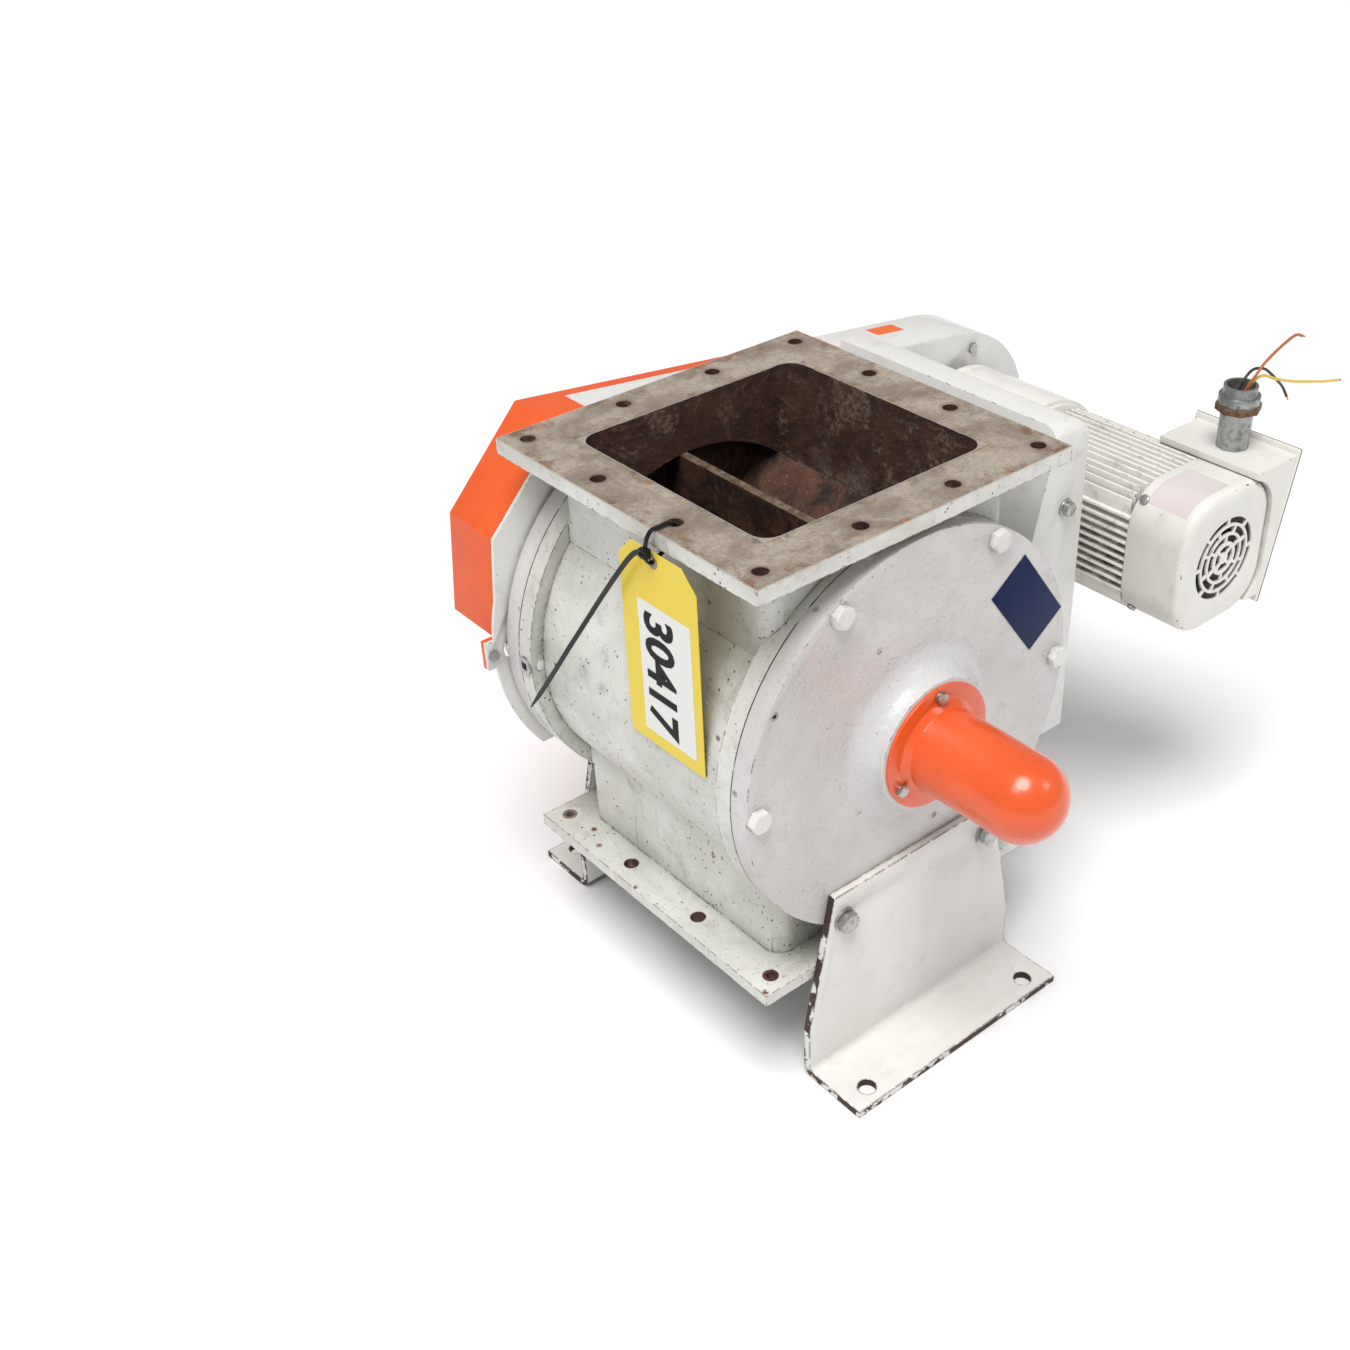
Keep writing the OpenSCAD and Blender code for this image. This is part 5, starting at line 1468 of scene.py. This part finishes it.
@dataclass(frozen=True)
class ScrewSet:
    """The screws of one CAD node, copies of one screw."""

    node: str
    screw: Screw
    finish: Finish
    slot: str
    places: Sequence[tuple[Point, Axis]]

    def build(self) -> Piece:
        """Makes the screws, each turned a little differently.

        Returns:
            The screws as one piece.
        """
        first = self.screw.build("screw")
        copies = []
        for number, (place, axis) in enumerate(self.places):
            spin = Matrix.Rotation(math.radians(17 + 23 * number), 4, "Z")
            turn = Euler(axis.value).to_matrix().to_4x4() @ spin
            copies.append(Bench.copy(first, f"screw_{number}", Matrix.Translation(place) @ turn))
        bpy.data.objects.remove(first)
        return fit(Bench.join(f"{self.node}_set", copies), self.finish, FIXED, self.slot, self.node)


@dataclass
class Valve:
    """Housing, end plates, rotor and their fastenings."""

    housing_low: Vector = field(default_factory=lambda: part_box("housing")[0])
    housing_high: Vector = field(default_factory=lambda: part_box("housing")[1])
    shaft_z: float = 0.2175
    bore_r: float = 0.165
    throat_half: float = 0.126
    seat_y: float = 0.155
    plate_y: float = 0.1755
    hub_y: float = 0.200
    hub_r: float = 0.0906
    ring_r: float = 0.194
    bolt_circle_r: float = 0.1826
    hole_pitch: float = 0.1048
    hole_r: float = 0.007
    neck_half: tuple[float, float] = (0.138, 0.145)
    neck_corner_r: float = 0.018
    inlet_t: float = 0.015
    outlet_t: float = 0.0125
    bolt_length: float = 0.0395
    guard_wall: float = 0.003
    guard_circle_r: float = 0.051

    def build(self) -> None:
        """Builds every piece."""
        outside = HousingFinish("housing_casting", WHITE, self.housing_high.z,
                                self.throat_half + 0.002, self.bore_r + 0.0015, self.shaft_z,
                                self.seat_y - 0.0006, self.ring_r, self.hole_pitch, self.hole_r)
        plates = PlateFinish("end_plate_paint", PLATE_WHITE, self.seat_y, self.plate_y,
                             self.hub_r - 0.002, self.shaft_z)
        Refined("housing", outside, "cast_white", 0.0012, tools=self.neck_corner_tools()).build()
        Refined("front_end_plate", plates, "plate_white", 0.0016, 3).build()
        Refined("rear_end_plate", plates, "plate_white", 0.0016).build()
        rotor = RustyRotor("rotor_rust", self.shaft_z, self.bore_r - 0.0005)
        Refined("rotor", rotor, "rotor_iron", 0.0006, body=TURNING).build()
        self.build_screws()

    def neck_corner_tools(self) -> list[Piece]:
        """Shapes that round the upright corners of both necks, clear of the flanges and the barrel.

        Returns:
            The shapes to cut away.
        """
        spans = ((self.shaft_z, self.housing_high.z - self.inlet_t),
                 (self.housing_low.z + self.outlet_t, self.shaft_z))
        tools = []
        for across, along, span in itertools.product((-1, 1), (-1, 1), spans):
            centre = (across * (self.neck_half[0] - self.neck_corner_r),
                      along * (self.neck_half[1] - self.neck_corner_r))
            ends = [sorted((c, sign * (half + 0.001)))
                    for c, sign, half in zip(centre, (across, along), self.neck_half)]
            tool = Bench.block("corner", (ends[0][0], ends[1][0], span[0]),
                               (ends[0][1], ends[1][1], span[1]))
            core = Bench.rod("core", self.neck_corner_r, (*centre, span[0] - 0.01),
                             span[1] - span[0] + 0.02, Axis.Z_POS, 96)
            body = Bench.rod("body", self.ring_r, (0, -0.2, self.shaft_z), 0.4, Axis.Y_POS, 128)
            tools.append(Bench.cut(tool, core, body))
        return tools

    def on_circle(self, y: float, *angles: float) -> list[tuple[Point, Axis]]:
        """Places on the bolt circle at a station, facing away from the valve."""
        axis = Axis.Y_NEG if y < 0 else Axis.Y_POS
        return [((x, y, self.shaft_z + z), axis) for x, z in (polar(self.bolt_circle_r, a) for a in angles)]

    def build_screws(self) -> None:
        """The screws of the end plates, the foot brackets and the shaft guard."""
        foot_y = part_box("foot_bracket_washers")[1].y
        plate_bolt = Screw(0.019, 0.008, 0.012, self.bolt_length, 0.0098)
        foot_bolt = Screw(0.019, 0.008, 0.012, self.bolt_length + foot_y - self.plate_y, 0.0096)
        guard_screw = Screw(0.0102, 0.005, 0.006, 0.014, 0.0057)
        plate_places = self.on_circle(-self.plate_y, 0, 60, 120, 180) + self.on_circle(self.plate_y, 180)
        foot_places = self.on_circle(-foot_y, 240, 300) + self.on_circle(foot_y, 240, 300)
        guard_places = [((x, -self.hub_y - self.guard_wall, self.shaft_z + z), Axis.Y_NEG)
                        for x, z in (polar(self.guard_circle_r, a) for a in (90, 210, 330))]
        for screws in (
            ScrewSet("end_plate_bolts", plate_bolt, BOLT_WHITE, "bolt_white", plate_places),
            ScrewSet("foot_bracket_bolts", foot_bolt, ZINC, "zinc", foot_places),
            ScrewSet("shaft_guard_screws", guard_screw, ZINC, "zinc", guard_places),
        ):
            screws.build()


@dataclass
class Labels:
    """The tag's panel, number and eyelet, and its tie."""

    tag_x: float = -0.1823
    tie_y: float = -0.0524
    tag_top: float = 0.418
    flange_half: float = 0.1778
    number: str = "30417"

    def build(self, tag: Piece) -> None:
        """Builds what lies on the tag, and its tie.

        Args:
            tag: the finished tag.
        """
        low, high = (-0.098, 0.234), (-0.028, 0.366)
        panel = Bench.patch("tag_panel", low, high, self.tag_x - 0.01, tag, Axis.X_POS)
        fit(panel, TAG_WHITE, FIXED, "sheet_white")
        digits = Bench.lettering("tag_number", self.number, 0.118, 0.040, 0.0002)
        face = Matrix(((0, 0, -1), (0, -1, 0), (-1, 0, 0))).to_4x4()
        digits.data.transform(Matrix.Translation((self.tag_x - 0.00038, -0.055, 0.298)) @ face)
        fit(digits, TAG_INK, FIXED, "tie_black")
        self.build_eyelet()
        self.build_tie()

    def build_eyelet(self) -> None:
        """The ring round the tag's hole."""
        place = (self.tag_x - 0.0006, self.tie_y, self.tag_top - 0.009)
        ring = Bench.rod("tag_eyelet", 0.0068, place, 0.0020, Axis.X_POS, 40)
        Bench.cut(ring, Bench.rod("hole", 0.0031, (place[0] - 0.001, *place[1:]), 0.005, Axis.X_POS, 40))
        fit(Bench.round_edges(ring, 0.0005, 3), EYELET, FIXED, "tag_yellow")

    def build_tie(self) -> None:
        """The cable tie: a loop through flange hole and tag, its head and its long tail."""
        y = self.tie_y
        hole_x = -0.1572
        loop = [(hole_x, 0.4165), (hole_x + 0.0005, 0.430), (hole_x - 0.004, 0.4372),
                (hole_x - 0.014, 0.4375), (-self.flange_half - 0.003, 0.4368), (-0.1865, 0.4300),
                (-0.1885, 0.4180), (-0.1868, 0.4095), (-0.1800, 0.4085), (-0.1720, 0.4130),
                (hole_x - 0.002, 0.4165)]
        points = smooth_path([Vector((x, y, z)) for x, z in loop], 6)
        strap = Bench.ribbon("tie_loop", points, 0.0048, 0.0013, Axis.Y_POS)
        head = Bench.block("tie_head", (-0.1925, y - 0.0045, 0.4150), (-0.1855, y + 0.0045, 0.4235))
        slot = Bench.block("slot", (-0.194, y - 0.0026, 0.4180), (-0.1840, y + 0.0026, 0.4205))
        Bench.round_edges(Bench.cut(head, slot), 0.0008, 2)
        fit(Bench.join("cable_tie_strap", [strap, head, self.build_tail()]), TIE_BLACK, FIXED, "tie_black",
            "cable_tie")

    def build_tail(self) -> Piece:
        """The tie's long tail, which narrows to its tip and leans away from the barrel.

        Returns:
            The tail.
        """
        knots = ((self.tie_y + 0.001, 0.4195), (self.tie_y + 0.016, 0.4110), (0.000, 0.3640), (0.060, 0.2800),
                 (0.108, 0.2150), (0.1390, 0.1750))
        points = smooth_path([Vector((0, *knot)) for knot in knots], 6)
        left, right = [], []
        for i, point in enumerate(points):
            along = (points[min(i + 1, len(points) - 1)] - points[max(i - 1, 0)]).normalized()
            half = 0.0024 if i < len(points) - 4 else 0.0024 * (len(points) - i) / 5
            side = Vector((0, -along.z, along.y)) * half
            left.append(point + side)
            right.append(point - side)
        outline = [(p.y, p.z) for p in left + right[::-1]]
        tail = Bench.outline_slab("tie_tail", outline, -0.1912, -0.1899, Axis.X_POS)
        for vertex in tail.data.vertices:
            vertex.co.x -= 0.0075 * max(0.0, min(1.0, (0.42 - vertex.co.z) / 0.14))
        return Bench.round_edges(tail, 0.0003, 1, 60)


@dataclass
class Gearmotor:
    """Motor, its fan cover, terminal box and gear reducer."""

    axis_x: float = 0.40895
    axis_z: float = 0.241
    grille_r: float = 0.050
    corner_x: float = 0.023
    corner_z: float = 0.029
    corner_r: float = 0.0468
    corner_fins: tuple[float, ...] = (0.0480, 0.0540, 0.0600)
    fin_row_z: float = 0.0400
    fin_t: float = 0.0024
    fin_inset: tuple[float, float] = (0.004, 0.012)
    rim_round: float = 0.0085
    cover_tilt: float = 12
    gasket_scale: Point = (0.22, 1.006, 1.005)

    def build(self) -> None:
        """Builds every piece."""
        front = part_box("fan_cover")[0].y

        def rim(*ends: Vector) -> bool:
            """Tells whether an edge lies on the fan cover's outer front rim.

            Args:
                ends: the edge's two ends.

            Returns:
                The piece.
            """
            return all(abs(v.y - front) < 0.0004
                       and math.hypot(v.x - self.axis_x, v.z - self.axis_z) > self.grille_r
                       for v in ends)

        cover = Refined("fan_cover", MOTOR_WHITE, "motor_cream", 0.0007, wide=rim,
                        wide_width=self.rim_round).build()
        label = Bench.patch("motor_label", (0.353, -0.184), (0.416, -0.136), 0.33, cover, Axis.Z_POS)
        fit(label, LABEL, FIXED, "sheet_white")
        for skin in (
            Refined("reducer_housing", MOTOR_WHITE, "motor_cream", 0.0015),
            Refined("reducer_cover", MOTOR_WHITE, "motor_cream", 0.0015),
            Refined("motor_frame", FIN_WHITE, "motor_cream", 0.0006),
            Refined("motor_end_bells", MOTOR_WHITE, "motor_cream", 0.0008),
            Refined("terminal_box", MOTOR_WHITE, "motor_cream", 0.0035, 4),
            Refined("conduit_connector", GALVANISED, "galvanised", 0.0006),
            Refined("conduit_locknut", NUT_RUST, "nut_rusty", 0.0008),
            Refined("fan_cover_screws", ZINC, "zinc", 0.0009, 3),
            Refined("terminal_cover_screws", ZINC, "zinc", 0.0007, 3),
            Refined("mount_clamp_bolt", ZINC, "zinc", 0.0005),
        ):
            skin.build()
        self.build_corner_fins()
        self.build_gasket(Refined("terminal_box_cover", MOTOR_WHITE, "motor_cream", 0.0018, 3).build())

    def build_corner_fins(self) -> None:
        """Short fins that fill the rounded corners between the frame's four rows of fins."""
        low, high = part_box("motor_frame")
        fins = []
        for across in self.corner_fins:
            top = self.corner_z + math.sqrt(self.corner_r ** 2 - (across - self.corner_x) ** 2)
            for side, up in itertools.product((-1, 1), (-1, 1)):
                x = self.axis_x + side * across
                ends = sorted((self.axis_z + up * self.fin_row_z, self.axis_z + up * top))
                fin = Bench.block("fin", (x - self.fin_t / 2, low.y + self.fin_inset[0], ends[0]),
                                  (x + self.fin_t / 2, high.y - self.fin_inset[1], ends[1]))
                fins.append(Bench.round_edges(fin, 0.0006))
        fit(Bench.join("motor_corner_fins", fins), FIN_WHITE, FIXED, "motor_cream")

    def build_gasket(self, cover: Piece) -> None:
        """The dark gasket that shows as a line behind the terminal box's cover.

        Args:
            cover: the finished cover.
        """
        gasket = Bench.unmark(Bench.copy(cover, "terminal_gasket"))
        low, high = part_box("terminal_box_cover")
        middle = Matrix.Translation((low + high) / 2)
        tilt = Matrix.Rotation(math.radians(self.cover_tilt), 4, "Y")
        thin = Matrix.Diagonal((*self.gasket_scale, 1))
        gasket.data.transform(middle @ tilt @ thin @ tilt.inverted() @ middle.inverted())
        fit(gasket, GASKET, FIXED, "seal_rubber")


@dataclass
class ChainGuard:
    """Orange cover, white hood and the blank panels on their top."""

    def build(self) -> None:
        """Builds every piece."""
        cover = Refined("chain_guard_cover", GUARD_ORANGE, "guard_orange", 0.0016, 3).build()
        hood = Refined("chain_guard_hood", SHEET_WHITE, "sheet_white", 0.0016, 3).build()
        Refined("guard_back_plate", SHEET_WHITE, "sheet_white", 0.0006).build()
        panel = Bench.patch("cover_panel", (-0.060, 0.204), (0.268, 0.2425), 0.45, cover, Axis.Z_POS)
        fit(panel, SHEET_WHITE, FIXED, "sheet_white")
        spot = Bench.patch("hood_patch", (0.337, 0.225), (0.376, 0.245), 0.45, hood, Axis.Z_POS)
        fit(spot, PATCH_ORANGE, FIXED, "guard_orange")


def build_plain_nodes() -> None:
    """Dresses the CAD nodes whose shapes are already right."""
    finishes = {
        "jack_screws": GALVANISED, "purge_plug": ZINC,
        "shaft_seals": RUBBER, "bearing_outer_rings": BEARING_STEEL, "bearing_inner_rings": BEARING_STEEL,
        "bearing_snap_rings": GEAR_STEEL, "rotor_shaft": STEEL, "guard_spacers": ZINC,
        "driven_sprocket": GEAR_STEEL, "driven_key": GEAR_STEEL, "drive_sprocket": GEAR_STEEL,
        "drive_key": GEAR_STEEL, "roller_chain": CHAIN_STEEL, "output_bearing": BEARING_STEEL,
        "output_shaft": GEAR_STEEL, "output_gear": GEAR_STEEL, "layshaft": GEAR_STEEL,
        "motor_shaft": GEAR_STEEL, "motor_rotor_core": STATOR_STEEL, "motor_stator": STATOR_STEEL,
        "motor_bearings": BEARING_STEEL, "cooling_fan": FAN_BLACK,
        "foot_bracket_washers": ZINC, "guard_plate_bolts": ZINC, "guard_screws": ZINC,
        "drive_mount_bolts": ZINC, "reducer_bolts": ZINC, "reducer_foot_bolts": ZINC,
    }
    for node, finish in finishes.items():
        dress(node, finish)


def main() -> None:
    """Builds the whole scene, sub-assembly by sub-assembly."""
    logging.basicConfig(level=logging.INFO, format="%(message)s")
    Studio().build(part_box("front_foot_bracket")[0].z)
    for lead in LEADS:
        lead.build()
    Valve().build()
    ChainGuard().build()
    Gearmotor().build()
    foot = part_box("front_foot_bracket")
    bracket = BracketFinish("bracket_paint", BRACKET_WHITE, 0.107, 0.233, 0.00875, foot[0].z + 0.0078)
    for skin in (
        Refined("shaft_guard", DOME_ORANGE, "dome_orange", 0.0008, 2),
        Refined("front_foot_bracket", bracket, "sheet_white", 0.0010),
        Refined("rear_foot_bracket", bracket, "sheet_white", 0.0010),
        Refined("nameplate", NAVY, "plate_navy", 0.0002),
        Refined("drive_mount", SHEET_WHITE, "sheet_white", 0.0016, 3),
    ):
        skin.build()
    Labels().build(Refined("hang_tag", TAG_YELLOW, "tag_yellow", 0.0002, 1).build())
    build_plain_nodes()


if __name__ == "__main__":
    main()
